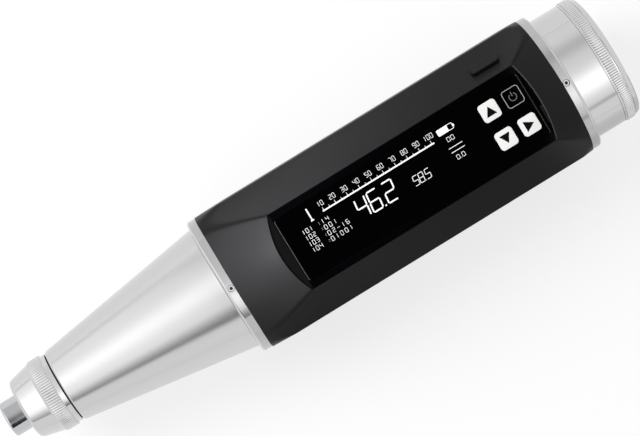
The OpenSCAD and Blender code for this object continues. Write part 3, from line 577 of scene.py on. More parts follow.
def turned_metal(name, colour, roughness, ring=0.35, groove=0.002, haze=0.05, teeth=0, valley_shade=None):
    """Metal off the lathe: rings of the tool's feed lie across the axis, every ring millimetres.

    The eye gets a satin streak along the piece, a faint grain across it and patches of haze, 18 mm wide.
    The feed is drawn coarser than the real 0.1 mm so that it shows. Between the teeth of a knurl the metal
    takes a darker colour as painted shade: the tone follows cos(teeth a), a being the angle round the tool's
    axis.
    """
    material, tree = new_material(name)
    where = add(tree, "TexCoord").outputs["Object"]
    round_scale = 6.0  # per metre: the rings hardly change on their way round
    feed = add(tree, "Mapping", {"Vector": where, "Scale": (1 / (ring * MM), round_scale, round_scale)})
    rings = add(tree, "TexNoise", {"Vector": feed, "Scale": 1.0, "Detail": 2.0})
    cloud = add(tree, "TexNoise", {"Vector": where, "Scale": 1 / (18 * MM), "Detail": 3.0})
    both = add(tree, "Math", {0: rings, 1: cloud}, operation="ADD")
    rough = add(tree, "MapRange", {
        "Value": both, "From Min": 0.6, "From Max": 1.4,
        "To Min": roughness - haze, "To Max": roughness + haze,
    })
    bump = add(tree, "Bump", {"Height": rings, "Strength": 0.35, "Distance": groove * MM})
    if teeth:
        part = add(tree, "SeparateXYZ", {"Vector": where}).outputs
        height = add(tree, "Math", {0: part["Z"], 1: AXIS_Z}, operation="SUBTRACT")
        turn = add(tree, "Math", {0: part["Y"], 1: height}, operation="ARCTAN2")
        turns = add(tree, "Math", {0: turn, 1: teeth}, operation="MULTIPLY")
        wave = add(tree, "Math", {0: turns}, operation="COSINE")
        # Crests keep the metal's colour; valleys take the darker tone as painted shade
        crest = add(tree, "MapRange", {"Value": wave, "From Min": -1.0, "From Max": 0.3})
        colour = add(tree, "Mix", {"Factor": crest, "A": valley_shade, "B": colour}, data_type="RGBA")
    shader = add(tree, "BsdfPrincipled", {
        "Base Color": colour, "Metallic": 1.0, "Roughness": rough, "Normal": bump,
    })
    add(tree, "OutputMaterial", {"Surface": shader})
    return material


def moulded(name, colour, roughness, grain=0.3, depth=0.012, specular=0.5):
    """Moulded plastic or rubber: the mould's eroded face leaves a fine even grain, grain millimetres wide.

    The eye gets a soft sheen that breaks up into specks, and a hint of uneven colour, 25 mm wide.
    """
    material, tree = new_material(name)
    where = add(tree, "TexCoord").outputs["Object"]
    specks = add(tree, "TexNoise", {"Vector": where, "Scale": 1 / (grain * MM), "Detail": 2.0})
    cloud = add(tree, "TexNoise", {"Vector": where, "Scale": 1 / (25 * MM), "Detail": 2.0})
    tone = add(tree, "MapRange", {"Value": cloud, "To Min": 0.9, "To Max": 1.1})
    uneven = add(tree, "Mix", {"Factor": 1.0, "A": colour, "B": tone},
                 data_type="RGBA", blend_type="MULTIPLY")
    spread = 0.06
    rough = add(tree, "MapRange", {
        "Value": specks, "From Min": 0.3, "From Max": 0.7,
        "To Min": roughness - spread, "To Max": roughness + spread,
    })
    bump = add(tree, "Bump", {"Height": specks, "Strength": 0.5, "Distance": depth * MM})
    shader = add(tree, "BsdfPrincipled", {
        "Base Color": uneven, "Roughness": rough, "Specular IOR Level": specular, "Normal": bump,
    })
    add(tree, "OutputMaterial", {"Surface": shader})
    return material


def grip_nylon(name):
    """Nylon of the grip: eroded grain outside, polished and deeper black in the display's pocket, that black
    partly painted shade.

    The pocket's floor and end walls stand half + max(front slope (floor front - x),
    rear slope (x - floor rear), 0) above the axis. A point close below that is polished and darkened, partly
    as painted shade, down to a greater depth on the front wall, whose edges are rounded. The lip of the rear
    wall is painted lighter as a highlight, and a dark line of painted shade runs where the upper facets meet
    the flares.
    """
    tones, _, grip, _ = settings()
    material = moulded(name, tones.grip, 0.36, 0.35, 0.014, 0.09)
    tree = material.node_tree
    shader = tree.nodes["Principled BSDF"]
    plain, eroded = (shader.inputs[end].links[0].from_socket for end in ("Base Color", "Roughness"))
    front = stations("grip_housing")[0] + grip.floor_front
    rear = front + grip.floor_length
    where = add(tree, "TexCoord").outputs["Object"]
    part = add(tree, "SeparateXYZ", {"Vector": where}).outputs
    ahead, behind = (
        add(tree, "Math", {0: part["X"], 1: slope, 2: -start * slope}, operation="MULTIPLY_ADD")
        for start, slope in ((front, -grip.front_slope), (rear, grip.rear_slope))
    )
    at_front, at_rear = (
        add(tree, "Math", {0: wall, 1: 0.0}, operation="GREATER_THAN") for wall in (ahead, behind)
    )
    wall = add(tree, "Math", {0: ahead, 1: behind}, operation="MAXIMUM")
    level = add(tree, "Math", {0: wall, 1: 0.0}, operation="MAXIMUM")
    below = add(tree, "Math", {0: level, 1: part["Z"]}, operation="SUBTRACT")
    # Masks that are 1 down to the first depth below the pocket's faces, in millimetres, and 0 from the second
    floor = -AXIS_Z - grip.half
    flush, shallow, near = (
        add(tree, "MapRange", {
            "Value": below, "From Min": floor + full * MM, "From Max": floor + none * MM,
            "To Min": 1.0, "To Max": 0.0,
        })
        for full, none in ((0.1, 0.2), (0.35, 0.45), (0.5, 1.2))
    )
    # The front wall is blackened to a greater depth, partly as painted shade
    start = add(tree, "Math", {0: shallow, 1: at_front}, operation="MULTIPLY")
    polish = add(tree, "Math", {0: flush, 1: start}, operation="MAXIMUM")
    # Painted highlight: the rear wall's lip is mixed towards the lighter lip tone
    lip = add(tree, "Math", {0: near, 1: at_rear}, operation="MULTIPLY")
    # Painted shade: a dark line where the upper facets meet the flares
    crease_shade = add(tree, "Attribute", attribute_name="crease_shade").outputs["Fac"]
    dark = add(tree, "Math", {0: crease_shade, 1: 0.95}, operation="MULTIPLY")
    # Over the grip's own tone: the lip's painted highlight, the crease's painted shade and the pocket's
    # black, which is partly painted shade
    tone = plain
    for mask, colour in ((lip, tones.lip), (dark, tones.pocket), (polish, tones.pocket)):
        tone = add(tree, "Mix", {"Factor": mask, "A": tone, "B": colour}, data_type="RGBA")
    rough = add(tree, "Mix", {"Factor": polish, "A": eroded, "B": 0.12}, data_type="FLOAT")
    tree.links.new(tone.outputs["Result"], shader.inputs["Base Color"])
    tree.links.new(rough.outputs["Result"], shader.inputs["Roughness"])
    return material


def printed(name, colour, glow=0.0):
    """Ink or lit display cells: flat colour with a slightly uneven matt face, in specks of 0.4 mm."""
    material, tree = new_material(name)
    where = add(tree, "TexCoord").outputs["Object"]
    specks = add(tree, "TexNoise", {"Vector": where, "Scale": 1 / (0.4 * MM)})
    rough = add(tree, "MapRange", {"Value": specks, "To Min": 0.45, "To Max": 0.6})
    shader = add(tree, "BsdfPrincipled", {
        "Base Color": colour, "Roughness": rough, "Specular IOR Level": 0.1,
        "Emission Color": colour, "Emission Strength": glow,
    })
    add(tree, "OutputMaterial", {"Surface": shader})
    return material


def finish(kind):
    """The material of one kind of finish, made when it is first asked for.

    The numbers are those of its maker: roughness first, then millimetres of ring and groove, or of grain
    and depth, and then haze or specular level.
    """
    tones, forms, _, _ = settings()
    maker, name, *rest = {
        # Aluminium, fine turned: bright satin with faint feed rings
        "turned_aluminium": (turned_metal, "turned aluminium", tones.aluminium, 0.19, 0.3, 0.0006, 0.025),
        # Aluminium, turned with a polishing cut: crisp bands of light
        "bright_aluminium": (turned_metal, "polished aluminium", tones.aluminium, 0.1, 0.3, 0.0004, 0.02),
        # Aluminium, straight knurled: bright crests, with the valleys between them painted darker as shade
        "nose_knurl": (turned_metal, "knurled aluminium of the nose", tones.crest, 0.3, 0.3, 0.0004, 0.02,
                       forms.cap_knurl_teeth, tones.valley_shade),
        "rear_knurl": (turned_metal, "knurled aluminium of the cap", tones.crest, 0.24, 0.3, 0.0004, 0.02,
                       forms.rear_knurl_teeth, tones.valley_shade),
        # Aluminium, finely turned and left plain: greyer satin with soft mirror lines
        "satin_aluminium": (turned_metal, "satin aluminium", tones.collar, 0.1, 0.4, 0.001, 0.03),
        # Aluminium, anodised: greyer and more matt
        "anodised_aluminium": (turned_metal, "anodised aluminium", tones.tube, 0.38, 0.6),
        # Hardened steel, ground and polished: nearly a mirror with grinding marks round it
        "hardened_steel": (turned_metal, "polished hardened steel", tones.polished, 0.09, 0.25, 0.0005, 0.02),
        # Mild steel, machined: grey with plain tool marks
        "steel": (turned_metal, "machined steel", tones.machined, 0.34, 0.5, 0.004),
        # Steel with black oxide: dark satin, also used as painted shade in the set screws' sockets
        "dark_steel": (turned_metal, "blackened steel", tones.blackened, 0.36, 0.3),
        # Spring wire, drawn: grey, slightly oily
        "spring_steel": (turned_metal, "drawn spring steel", tones.wire, 0.26, 0.4, 0.002),
        # Brass, machined: warm and bright
        "brass": (turned_metal, "machined brass", tones.brass, 0.26, 0.4),
        # Nickel plate: bright and slightly warm
        "plated_shell": (turned_metal, "nickel plate", tones.plating, 0.2, 1.5, 0.001),
        # Glass-filled nylon, moulded: dark satin with a fine eroded grain, smoother in the pocket
        "grip_plastic": (grip_nylon, "moulded nylon"),
        # Oil and dust that dried in a groove, darkened further as painted shade: nearly black and matt
        "oil_and_shade": (moulded, "dried oil", tones.oil_and_shade, 0.6, 0.3, 0.01, 0.2),
        # Acrylic where its ends were ground: a grey matt line, whose light grey is also a painted highlight
        # on the bevel
        "ground_edge_highlight": (moulded, "ground acrylic", tones.edge, 0.5, 0.3, 0.004, 0.3),
        # Acrylic, polished and back-printed black: deep gloss
        "gloss_black": (moulded, "polished acrylic", tones.window, 0.12, 2.0, 0.0003, 0.02),
        # ABS, moulded white: even satin
        "white_key": (moulded, "moulded white ABS", tones.key, 0.42, 0.3, 0.006),
        # Silicone rubber: matt with a dusty grain
        "black_rubber": (moulded, "silicone rubber", tones.rubber, 0.55, 0.25, 0.02, 0.15),
        # The same rubber on the plug's top: greyer as painted light, while the sides keep the darker rubber
        # as painted shade
        "painted_lit_rubber": (moulded, "rubbed silicone", tones.painted_lit_top, 0.55, 0.25, 0.02, 0.15),
        # Glass epoxy with solder mask: green and half glossy
        "board_green": (moulded, "solder mask", tones.board, 0.35, 0.8, 0.01, 0.5),
        # Acetal, machined: waxy grey
        "rider_plastic": (moulded, "acetal", tones.rider, 0.4, 0.5, 0.006),
        # Printed film shrunk over the cell: smooth with soft creases
        "cell_wrap": (moulded, "shrink film", tones.cell, 0.32, 4.0, 0.05),
        # Wool felt, pressed: fuzzy and matt
        "felt": (moulded, "wool felt", tones.felt, 0.9, 0.5, 0.15, 0.1),
        # Ink, pad printed on the keys: flat black, grey and faint grey
        "dark_print": (printed, "black pad print", tones.dark_print),
        "grey_print": (printed, "grey pad print", tones.grey_print),
        "sign_print": (printed, "faint pad print", tones.sign_print),
        # Display cells, lit from behind: white with a slight glow
        "lit_cells": (printed, "lit display cells", tones.light_print, 0.35),
    }[kind]
    return bpy.data.materials.get(name) or maker(name, *rest)


def knurled_cap(name, node, kind, before, knurl, after, columns):
    """A bright turned cap on the housing, with a straight knurl of one kind of finish.

    The profile runs through the points before, along the knurl, given as (teeth, front, rear, root
    radius), and through the points after.
    """
    _, forms, _, _ = settings()
    count, front, rear, root = knurl
    lead = forms.knurl_lead
    foot = [(x, root) for x in (front, front + lead, rear - lead, rear)]
    teeth = (count, forms.knurl_depth, front, rear, root, lead)
    made = piece(name, "housing", "turned_aluminium", "bright_aluminium",
                 turned(rounded([*before, *foot, *after]), columns, teeth=teeth), stands_for=[node])
    accent(made, kind, lambda centre, _: (from_axis(centre) > root - 0.02 * MM)
           & (centre[:, 0] > front) & (centre[:, 0] < rear))


class HAMMER_OT_plunger(bpy.types.Operator):
    """Turns the impact plunger: domed and rounded tip, rod, collar and blind bore."""

    bl_idname = "hammer.plunger"
    bl_label = "Impact Plunger"

    def execute(self, context):
        _, forms, _, _ = settings()
        tip, rear = stations("impact_plunger")
        radius, crown, edge = forms.plunger_d / 2, forms.plunger_crown, forms.broken_edge
        collar, collar_front = reach("impact_plunger"), rear - 5 * MM
        bore, bore_end = 4.5 * MM, rear - 58 * MM
        rise = np.linspace(0, 0.7 * radius, 12)
        dome = np.column_stack([tip + crown - np.sqrt(crown**2 - rise**2), rise])
        lean = dome[-1, 1] / math.sqrt(crown**2 - dome[-1, 1] ** 2)
        shoulder = dome[-1, 0] + lean * (radius - dome[-1, 1])
        rest = rounded([
            dome[-1], (shoulder, radius, forms.plunger_edge), (collar_front, radius),
            (collar_front, collar, edge), (rear, collar, edge), (rear, bore, edge), (bore_end, bore),
            (bore_end, 0),
        ])
        profile = np.concatenate([dome[:-1], rest])
        piece("plunger", "carriage", "hardened_steel", "hardened_steel", turned(profile, 192, poles=True),
              stands_for=["impact_plunger"])
        return {"FINISHED"}


class HAMMER_OT_nose(bpy.types.Operator):
    """Turns the nose: the cap with its taper and straight knurl, and the long cone behind it."""

    bl_idname = "hammer.nose"
    bl_label = "Nose Cap and Cone"

    def execute(self, context):
        _, forms, _, _ = settings()
        face, joint = stations("nose_cap")
        edge, root = forms.broken_edge, reach("nose_cap") - forms.knurl_depth
        taper, knurl = face + forms.cap_taper_length, face + forms.cap_knurl_start
        end, count = knurl + forms.cap_knurl_length, forms.cap_knurl_teeth
        hole, pack, thread, neck = 7.8 * MM, 12.1 * MM, 13.1 * MM, root - 0.35 * MM
        floor, step = face + 4.2 * MM, face + 10.2 * MM
        knurled_cap("knurled_nose", "nose_cap", "nose_knurl", [
            (face, hole, edge), (face, forms.cap_face_d / 2, forms.cap_edge),
            (taper, forms.cap_taper_d / 2, edge),
        ], (count, knurl, end, root), [
            (end, neck), (joint, neck, edge / 2), (joint, thread), (step, thread), (step, pack),
            (floor, pack), (floor, hole),
        ], 8 * count)

        spigot, tail = stations("nose_cone")
        front, rear = joint + forms.cone_groove, stations("front_collar")[0]
        front_r, rear_r = forms.cone_front_d / 2, forms.cone_rear_d / 2
        thread, flange = 13.0 * MM, 26.0 * MM
        tube, chamber, spring, sleeve = 24.05 * MM, 18.0 * MM, 13.5 * MM, 11.05 * MM
        tube_end, spring_end, sleeve_end = rear - 7.8 * MM, joint + 35.25 * MM, spigot + 9.0 * MM
        cone = rounded([
            (spigot, thread, edge), (joint, thread), (front, thread), (front, front_r, forms.cone_edge),
            (rear, rear_r, edge), (rear, flange), (tail, flange, edge), (tail, tube), (tube_end, tube),
            (tube_end, chamber), (spring_end, chamber), (spring_end, spring), (sleeve_end, spring),
            (sleeve_end, sleeve), (spigot, sleeve),
        ])
        made = piece("cone", "housing", "turned_aluminium", "turned_aluminium", turned(cone, 320),
                     stands_for=["nose_cone"])
        # The seam in front of the cone, short of its rounded edge: dark with oil and painted shade
        accent(made, "oil_and_shade", lambda centre, _: (centre[:, 0] > joint) & (centre[:, 0] < front + 0.01 * MM)
               & (from_axis(centre) > thread - 0.1 * MM) & (from_axis(centre) < front_r - 0.9 * MM))
        return {"FINISHED"}


class HAMMER_OT_collars(bpy.types.Operator):
    """Turns both collars, rounds their outer edges, drills them and sinks the set screws."""

    bl_idname = "hammer.collars"
    bl_label = "Collars"

    def execute(self, context):
        _, forms, _, _ = settings()
        angle = np.linspace(0, 2 * np.pi, 48, endpoint=False)
        circle = np.column_stack([np.cos(angle), np.sin(angle)])
        # A hexagon's radius is half its width over the cosine of the angle to the middle of the nearest flat
        flats = (angle + np.pi / 6) % (np.pi / 3) - np.pi / 6
        hexagon = circle * (forms.screw_socket / 2 / np.cos(flats))[:, None]
        screw, bevel, depth, hole = forms.screw_d / 2, 0.12 * MM, 1.2 * MM, forms.screw_hole_d / 2
        bore, along = 26.05 * MM, Vector((1, 0, 0))
        edges = (forms.collar_edge, forms.broken_edge)
        screws, axes = [], []
        for name, node, (ahead, behind), shift in (
            ("collar_front", "front_collar", edges, forms.screw_shift),
            ("collar_rear", "rear_collar", edges[::-1], -forms.screw_shift),
        ):
            front, rear = stations(node)
            outer = reach(node)
            head = outer - forms.screw_sink
            ring = rounded([(front, bore), (front, outer, ahead), (rear, outer, behind), (rear, bore)], 12)
            origin = Vector(((front + rear) / 2 + shift, 0, AXIS_Z))
            drill = np.array([(bore - MM, 0), (bore - MM, hole), (outer + MM, hole), (outer + MM, 0)])
            rings = levelled([
                (circle * screw, bore + 0.1 * MM), (circle * screw, head - bevel),
                (circle * (screw - bevel), head), (hexagon, head), (hexagon, head - depth),
            ])
            holes = []
            for turn in (0, 2 * math.pi / 3, 4 * math.pi / 3):
                out = Vector((0, math.sin(turn), math.cos(turn)))
                across = out.cross(along)
                holes.append(turned(drill, 42, (origin, out, along, across), poles=True))
                screws.append(loft(placed(rings, (origin, along, across, out))))
                axes.append((np.array(origin), np.array(out), head))
            made = piece(name, "housing", "turned_aluminium", "satin_aluminium", turned(ring, 320),
                         stands_for=[node], cuts=holes)
            # The rounded edges take the lighter polished aluminium, which also paints a highlight along them
            accent(made, "bright_aluminium", lambda centre, normal: (np.abs(normal[:, 0]) > 0.2)
                   & (from_axis(centre) > outer - forms.collar_edge))

        def in_socket(centre, _):
            """Whether centres lie in a socket: close to a screw's axis and below its head."""
            inside = np.zeros(len(centre), bool)
            for origin, out, head in axes:
                height = (centre - origin) @ out
                aside = np.linalg.norm(centre - origin - height[:, None] * out, axis=1)
                inside |= (aside < 0.6 * forms.screw_socket) & (height > 0) & (height < head - 0.05 * MM)
            return inside

        made = piece("set_screws", "housing", "steel", "hardened_steel", *screws,
                     stands_for=["collar_screws"])
        # Painted shade: the sockets of the bright screws take blackened steel
        accent(made, "dark_steel", in_socket)
        return {"FINISHED"}


def softest(distances, soft):
    """Lower envelope of distances with rounded meets.

    It is nearest - max(soft - (second - nearest), 0)^2 / (4 soft).
    """
    nearest, second = np.partition(distances, 1, axis=0)[:2]
    return nearest - np.maximum(soft - (second - nearest), 0) ** 2 / (4 * soft)


def crowded(low, high, count, places, width, extra):
    """Parameters from low to high that crowd round the places: equal steps of the integral of
    1 + extra times a bell of that width round each place."""
    fine = np.linspace(low, high, 8001)
    density = 1 + extra * np.exp(-(((fine[:, None] - np.array(places)) / width) ** 2)).sum(1)
    total = np.concatenate([[0], np.cumsum((density[1:] + density[:-1]) / 2)])
    return np.interp(np.linspace(0, total[-1], count), total, fine)


class HAMMER_OT_grip(bpy.types.Operator):
    """Moulds the grip: eight flats and two hollow flares that run softly into each other, the display's
    pocket, the inner wall, and the openings for window, socket and lock button."""

    bl_idname = "hammer.grip"
    bl_label = "Grip"

    def execute(self, context):
        _, _, grip, _ = settings()
        front, rear = stations("grip_housing")
        floor_front = front + grip.floor_front
        floor_rear = floor_front + grip.floor_length
        # Rows lie close where the flares and the pocket's end walls are, and columns over the pocket and
        # round the ridges
        ramp, heel = front + 28.5 * MM, rear - 16.4 * MM
        x = np.concatenate([
            np.linspace(front, ramp, 78), np.linspace(ramp, heel, 9)[1:-1], np.linspace(heel, rear, 56),
        ])[:, None]
        # The flats' directions are angles from the top, and two flats meet half-way between theirs
        upper, lower = facet_lean(grip.half, grip.pocket_half), facet_lean(grip.half, grip.top_half)
        sides = np.array([math.pi / 2 - upper, math.pi / 2, math.pi / 2 + lower])
        directions = np.concatenate([sides, [math.pi], 2 * math.pi - sides[::-1]])
        ridges = np.degrees(directions[1:] + directions[:-1]) / 2
        pocket_end = 60  # degrees from the top
        over_pocket = np.arange(-pocket_end, pocket_end, 0.42)
        past_pocket = crowded(pocket_end, 360 - pocket_end, 270, ridges, 2.5, 4)[:-1]
        angle = np.radians(np.concatenate([over_pocket, past_pocket]))

        def flat(direction, distance, least=0.05):
            """Radius where a ray meets a flat: its distance over the cosine of the angle between them."""
            facing = np.cos(angle - direction)
            return np.where(facing > least, distance / np.maximum(facing, least), FAR)

        def flare(at_x, radius, lead_x, lead):
            """Radius of a hollow arc: lowest at lead_x, and the flares' start radius where x is lead away."""
            middle = grip.flare_start + math.sqrt(radius**2 - lead**2)
            return middle - np.sqrt(np.maximum(radius**2 - (at_x - lead_x) ** 2, 0))

        def flares(at_x):
            """Radius of the front and the rear flare, each near its own end of the grip only."""
            first = flare(at_x, grip.front_flare, front - grip.front_lead, grip.front_lead)
            last = flare(at_x, grip.rear_flare, rear + grip.rear_lead, grip.rear_lead)
            near_front, near_rear = at_x < front + 60 * MM, at_x > rear - 40 * MM
            return np.where(near_front, first, FAR), np.where(near_rear, last, FAR)

        shape = (len(x), len(angle))
        bounds = [np.broadcast_to(flat(turn, grip.half), shape) for turn in directions]
        bounds += [np.broadcast_to(one, shape) for one in flares(x)]
        walls = np.maximum((floor_front - x) * grip.front_slope, (x - floor_rear) * grip.rear_slope)
        bounds.append(flat(0.0, grip.half + np.maximum(walls, 0), 0.3))
        outer = softest(np.stack(bounds), grip.soft)

        bore, cavity = grip.end_bore_d / 2, grip.half - grip.wall
        inside = np.min([flat(turn, cavity) for turn in (*directions, 0.0)], axis=0)
        tube = cavity - 0.05 * MM
        front_seat, rear_seat, hollow = front + 7 * MM, rear - 6 * MM, floor_front - 1.5 * MM
        steps = [
            (rear, bore), (rear_seat, bore), (rear_seat, tube), (floor_rear, tube), (floor_rear, inside),
            (hollow, inside), (hollow, tube), (front_seat, tube), (front_seat, bore), (front, bore),
        ]
        inner = np.stack([np.broadcast_to(radius, angle.shape) for _, radius in steps])
        inner_x = np.array([station for station, _ in steps])[:, None]
        along = np.concatenate([np.broadcast_to(x, shape), np.broadcast_to(inner_x, inner.shape)])
        radius = np.concatenate([outer, inner])
        points = np.stack([along, radius * np.sin(angle), AXIS_Z + radius * np.cos(angle)], axis=-1)
        shell = (points.reshape(-1, 3), grid_faces(len(points), len(angle), True).tolist())

        low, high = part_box("display_panel")
        middle = centre_of("display_panel")
        length, width, overrun = high.x - low.x + 2 * grip.fit, high.y - low.y + 2 * grip.fit, 5 * MM
        recess = edge_rings(length, width, grip.window_corner, [(low.z, 0), (high.z + overrun, 0)])
        # The window rests on a ledge round the opening below it
        length, width, corner, shift = 107.7 * MM, 24.3 * MM, 0.5 * MM, 0.35 * MM
        foot, top = AXIS_Z + 20 * MM, low.z + 0.02 * MM
        opening = edge_rings(length, width, corner, [(foot, 0), (top, 0)]) + (shift, 0, 0)
        foot, top, corner = 24 * MM, 34 * MM, 0.3 * MM
        slit = edge_rings(grip.socket_length, grip.socket_width, corner, [(foot, 0), (top, 0)])
        slit = placed(slit - (0, grip.plug_offset, 0), facet_place("usb_plug", 1))
        origin, tool, across, out = facet_place("lock_button", -1)
        hole, foot, top = grip.button_hole_d / 2, 22 * MM, 36 * MM
        drill = np.array([(foot, 0), (foot, hole), (top, hole), (top, 0)])
        cuts = [loft(recess + middle), loft(opening + middle), loft(slit),
                turned(drill, 64, (origin, out, tool, across), poles=True)]
        made = piece("grip", "housing", "grip_plastic", "grip_plastic", shell,
                     stands_for=["grip_housing"], cuts=cuts)
        bpy.data.collections[FRONT_LIT].objects.link(made)

        # Attribute that is 1 where an upper facet meets a flare and dies off within the shade's width: it
        # marks where a dark line of painted shade goes into the grip's colour
        places = np.empty(3 * len(made.data.vertices))
        made.data.vertices.foreach_get("co", places)
        places = places.reshape(-1, 3)
        under_flare = np.min(flares(places[:, 0]), axis=0) - from_axis(places)
        outwards = np.abs(places[:, 1]) * math.cos(upper) + (places[:, 2] - AXIS_Z) * math.sin(upper)
        apart = np.abs(under_flare) + np.abs(grip.half - outwards)
        crease_shade = np.exp(-((apart / grip.crease_shade) ** 2))
        made.data.attributes.new("crease_shade", "FLOAT", "POINT").data.foreach_set("value", crease_shade)
        return {"FINISHED"}


KEYS = {"key_up": "up_key", "key_down": "down_key", "key_right": "right_key", "key_power": "power_key"}


class HAMMER_OT_window(bpy.types.Operator):
    """Lays the gloss window with its polished bevel and the holes for the keys."""

    bl_idname = "hammer.window"
    bl_label = "Display Window"

    def execute(self, context):
        _, _, grip, _ = settings()
        low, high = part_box("display_panel")
        levels = [(low.z, 0), (high.z - grip.window_bevel, 0), (high.z, grip.window_bevel)]
        slab = edge_rings(high.x - low.x, high.y - low.y, grip.window_corner, levels)
        side, corner = grip.key_side + 2 * grip.key_gap, grip.key_corner + grip.key_gap
        hole = edge_rings(side, side, corner, [(low.z - MM, 0), (high.z + MM, 0)])
        holes = [loft(hole + centre_of(node)) for node in KEYS.values()]
        slab += centre_of("display_panel")
        made = piece("window", "housing", "gloss_black", "gloss_black", loft(slab),
                     stands_for=["display_panel"], cuts=holes)
        # The bevel's ends take a light grey: a ground finish and a painted highlight
        accent(made, "ground_edge_highlight", lambda _, normal: (np.abs(normal[:, 0]) > 0.5) & (normal[:, 2] > 0.3))
        return {"FINISHED"}


class HAMMER_OT_keys(bpy.types.Operator):
    """Moulds the four keys with eased edges and prints their signs."""

    bl_idname = "hammer.keys"
    bl_label = "Keys"

    def execute(self, context):
        _, _, grip, readout = settings()
        for name, node in KEYS.items():
            low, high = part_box(node)
            centre = centre_of(node)
            skirt = (high.x - low.x - grip.key_side) / 2
            ledge = low.z + 0.6 * MM
            edge = grip.key_edge / 4 if node == "power_key" else grip.key_edge
            levels = [(low.z, -skirt), (ledge, -skirt), (ledge, 0), *eased(high.z, 0, edge)]
            slot = "gloss_black" if node == "power_key" else "white_key"
            rings = edge_rings(grip.key_side, grip.key_side, grip.key_corner, levels)
            piece(name, node, slot, slot, loft(rings + centre), stands_for=[node])
            level = (high.z - readout.print_rise, high.z + readout.print_rise)
            if node == "power_key":
                # An open ring with a bar in its gap, and a frame along the key's edge
                ring = np.linspace(math.radians(35), math.radians(325), 49)
                inner, outer = 1.3 * MM, 1.72 * MM
                turn = np.column_stack([-np.sin(ring), np.cos(ring)])
                arc = np.concatenate([turn * outer, turn[::-1] * inner])[None] + centre[:2]
                bar = MM * boxes((-0.21, 0.21, 0.3, 2.1)) + centre[:2]
                piece(name + "_sign", node, slot, "sign_print", plates(arc, *level), plates(bar, *level))
                insets = np.array((0.4, 0.12)) * MM
                sides, corners = grip.key_side - 2 * insets, grip.key_corner - insets
                rim = [
                    round_rectangle(side, side, corner) + centre[:2] for side, corner in zip(sides, corners)
                ]
                piece(name + "_frame", node, slot, "grey_print", band(*rim, *level))
                continue
            # A triangle that points the key's way, moved back so that it looks centred
            point = {"up_key": (0, 1), "down_key": (0, -1), "right_key": (1, 0)}[node]
            turn = math.atan2(point[1], point[0]) + np.radians([0, 120, 240])
            span = 2.6 * MM
            tips = span * np.column_stack([np.cos(turn), np.sin(turn)]) - span / 4 * np.array(point)
            piece(name + "_sign", node, slot, "dark_print", plates(tips[None] + centre[:2], *level))
        return {"FINISHED"}


class HAMMER_OT_readout(bpy.types.Operator):
    """Draws the display: a bar scale from ten to a hundred, the readings, the small rows and the signs."""

    bl_idname = "hammer.readout"
    bl_label = "Readout"

    def execute(self, context):
        _, _, _, readout = settings()
        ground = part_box("display_panel")[1].z
        level = (ground - readout.print_rise, ground + readout.print_rise)

        def shown(name, *parts):
            """Lit cells of the display."""
            piece(name, "housing", "gloss_black", "lit_cells", *parts)

        # Bar scale: ticks at the tens and fives on a rule, with the tens' numbers above
        first, step, foot, base = 10.87 * MM, 5.4545 * MM, 7.2 * MM, 9.2 * MM
        tens = first + step * np.arange(10)
        fives = tens[:-1] + step / 2
        ticks = [
            (x - half, x + half, foot, top)
            for places, half, top in ((tens, 0.09 * MM, 8.4 * MM), (fives, 0.07 * MM, 7.95 * MM))
            for x in places
        ]
        rule = (10.33 * MM, 61.0 * MM, 6.68 * MM, 7.28 * MM)
        tall, gap = readout.scale_height, 3
        stroke = 0.09 * tall
        numbers = []
        for i, x in enumerate(tens):
            text = str(10 * (i + 1))
            wide = len(text) * (0.5 * tall + gap * stroke) - gap * stroke
            numbers.append(figures(text, x - wide / 2, base, tall, stroke, level, gap=gap))
        shown("readout_scale", plates(boxes(*ticks, rule), *level), *numbers)

        tall, slant = readout.reading_height, readout.slant
        shown("readout_reading", figures(
            readout.reading, left=21.6 * MM, base=-3.9 * MM, height=tall, stroke=0.075 * tall,
            levels=level, slant=slant, wide=0.52,
        ))
        tall = readout.second_height
        shown("readout_second", figures(
            readout.second, left=46.2 * MM, base=-3.7 * MM, height=tall, stroke=0.062 * tall,
            levels=level, slant=slant,
        ))
        tall, first, step = readout.row_height, 2.9 * MM, 2.6 * MM
        stroke, label_left, value_left = 0.1 * tall, -1.0 * MM, 6.6 * MM
        rows = []
        for i, row in enumerate(readout.rows.split(",")):
            label, value = row.split(":")
            base = first - step * i
            rows.append(figures(label, label_left, base, tall, stroke, level, wide=0.6, gap=4.0))
            rows.append(figures(":" + value, value_left, base, tall, stroke, level, wide=0.62, gap=6.0))
        shown("readout_rows", *rows)

        # Signs: a battery with its fill and pole, an arrow on its stem, two lines between two small numbers
        cell = np.array((67.2 * MM, 9.2 * MM))
        case_in, case_out = (
            round_rectangle(length * MM, width * MM, corner * MM, 6) + cell
            for length, width, corner in ((6.5, 2.1, 0.3), (7.0, 2.6, 0.5))
        )
        # Fill, pole, stem and both lines, in millimetres
        bars = MM * boxes(
            (63.9, 68.4, 8.1, 10.3), (70.7, 71.2, 8.7, 9.7), (4.77, 5.37, 7.1, 11.2),
            (64.6, 70.6, 1.7, 1.95), (64.6, 70.6, -0.15, 0.1),
        )
        arrow = MM * np.array([[(4.3, 5.8), (5.07, 5.8), (5.84, 5.8), (5.07, 7.1)]])
        tall, stroke = 1.7 * MM, 0.18 * MM
        small = [
            figures(text, left * MM, base * MM, tall, stroke, level, wide=0.7, gap=3.2)
            for text, left, base in (("00", 65.8, 4.4), ("0.0", 65.6, -3.4))
        ]
        shown("readout_signs", band(case_in, case_out, *level), plates(bars, *level), plates(arrow, *level),
              *small)
        return {"FINISHED"}


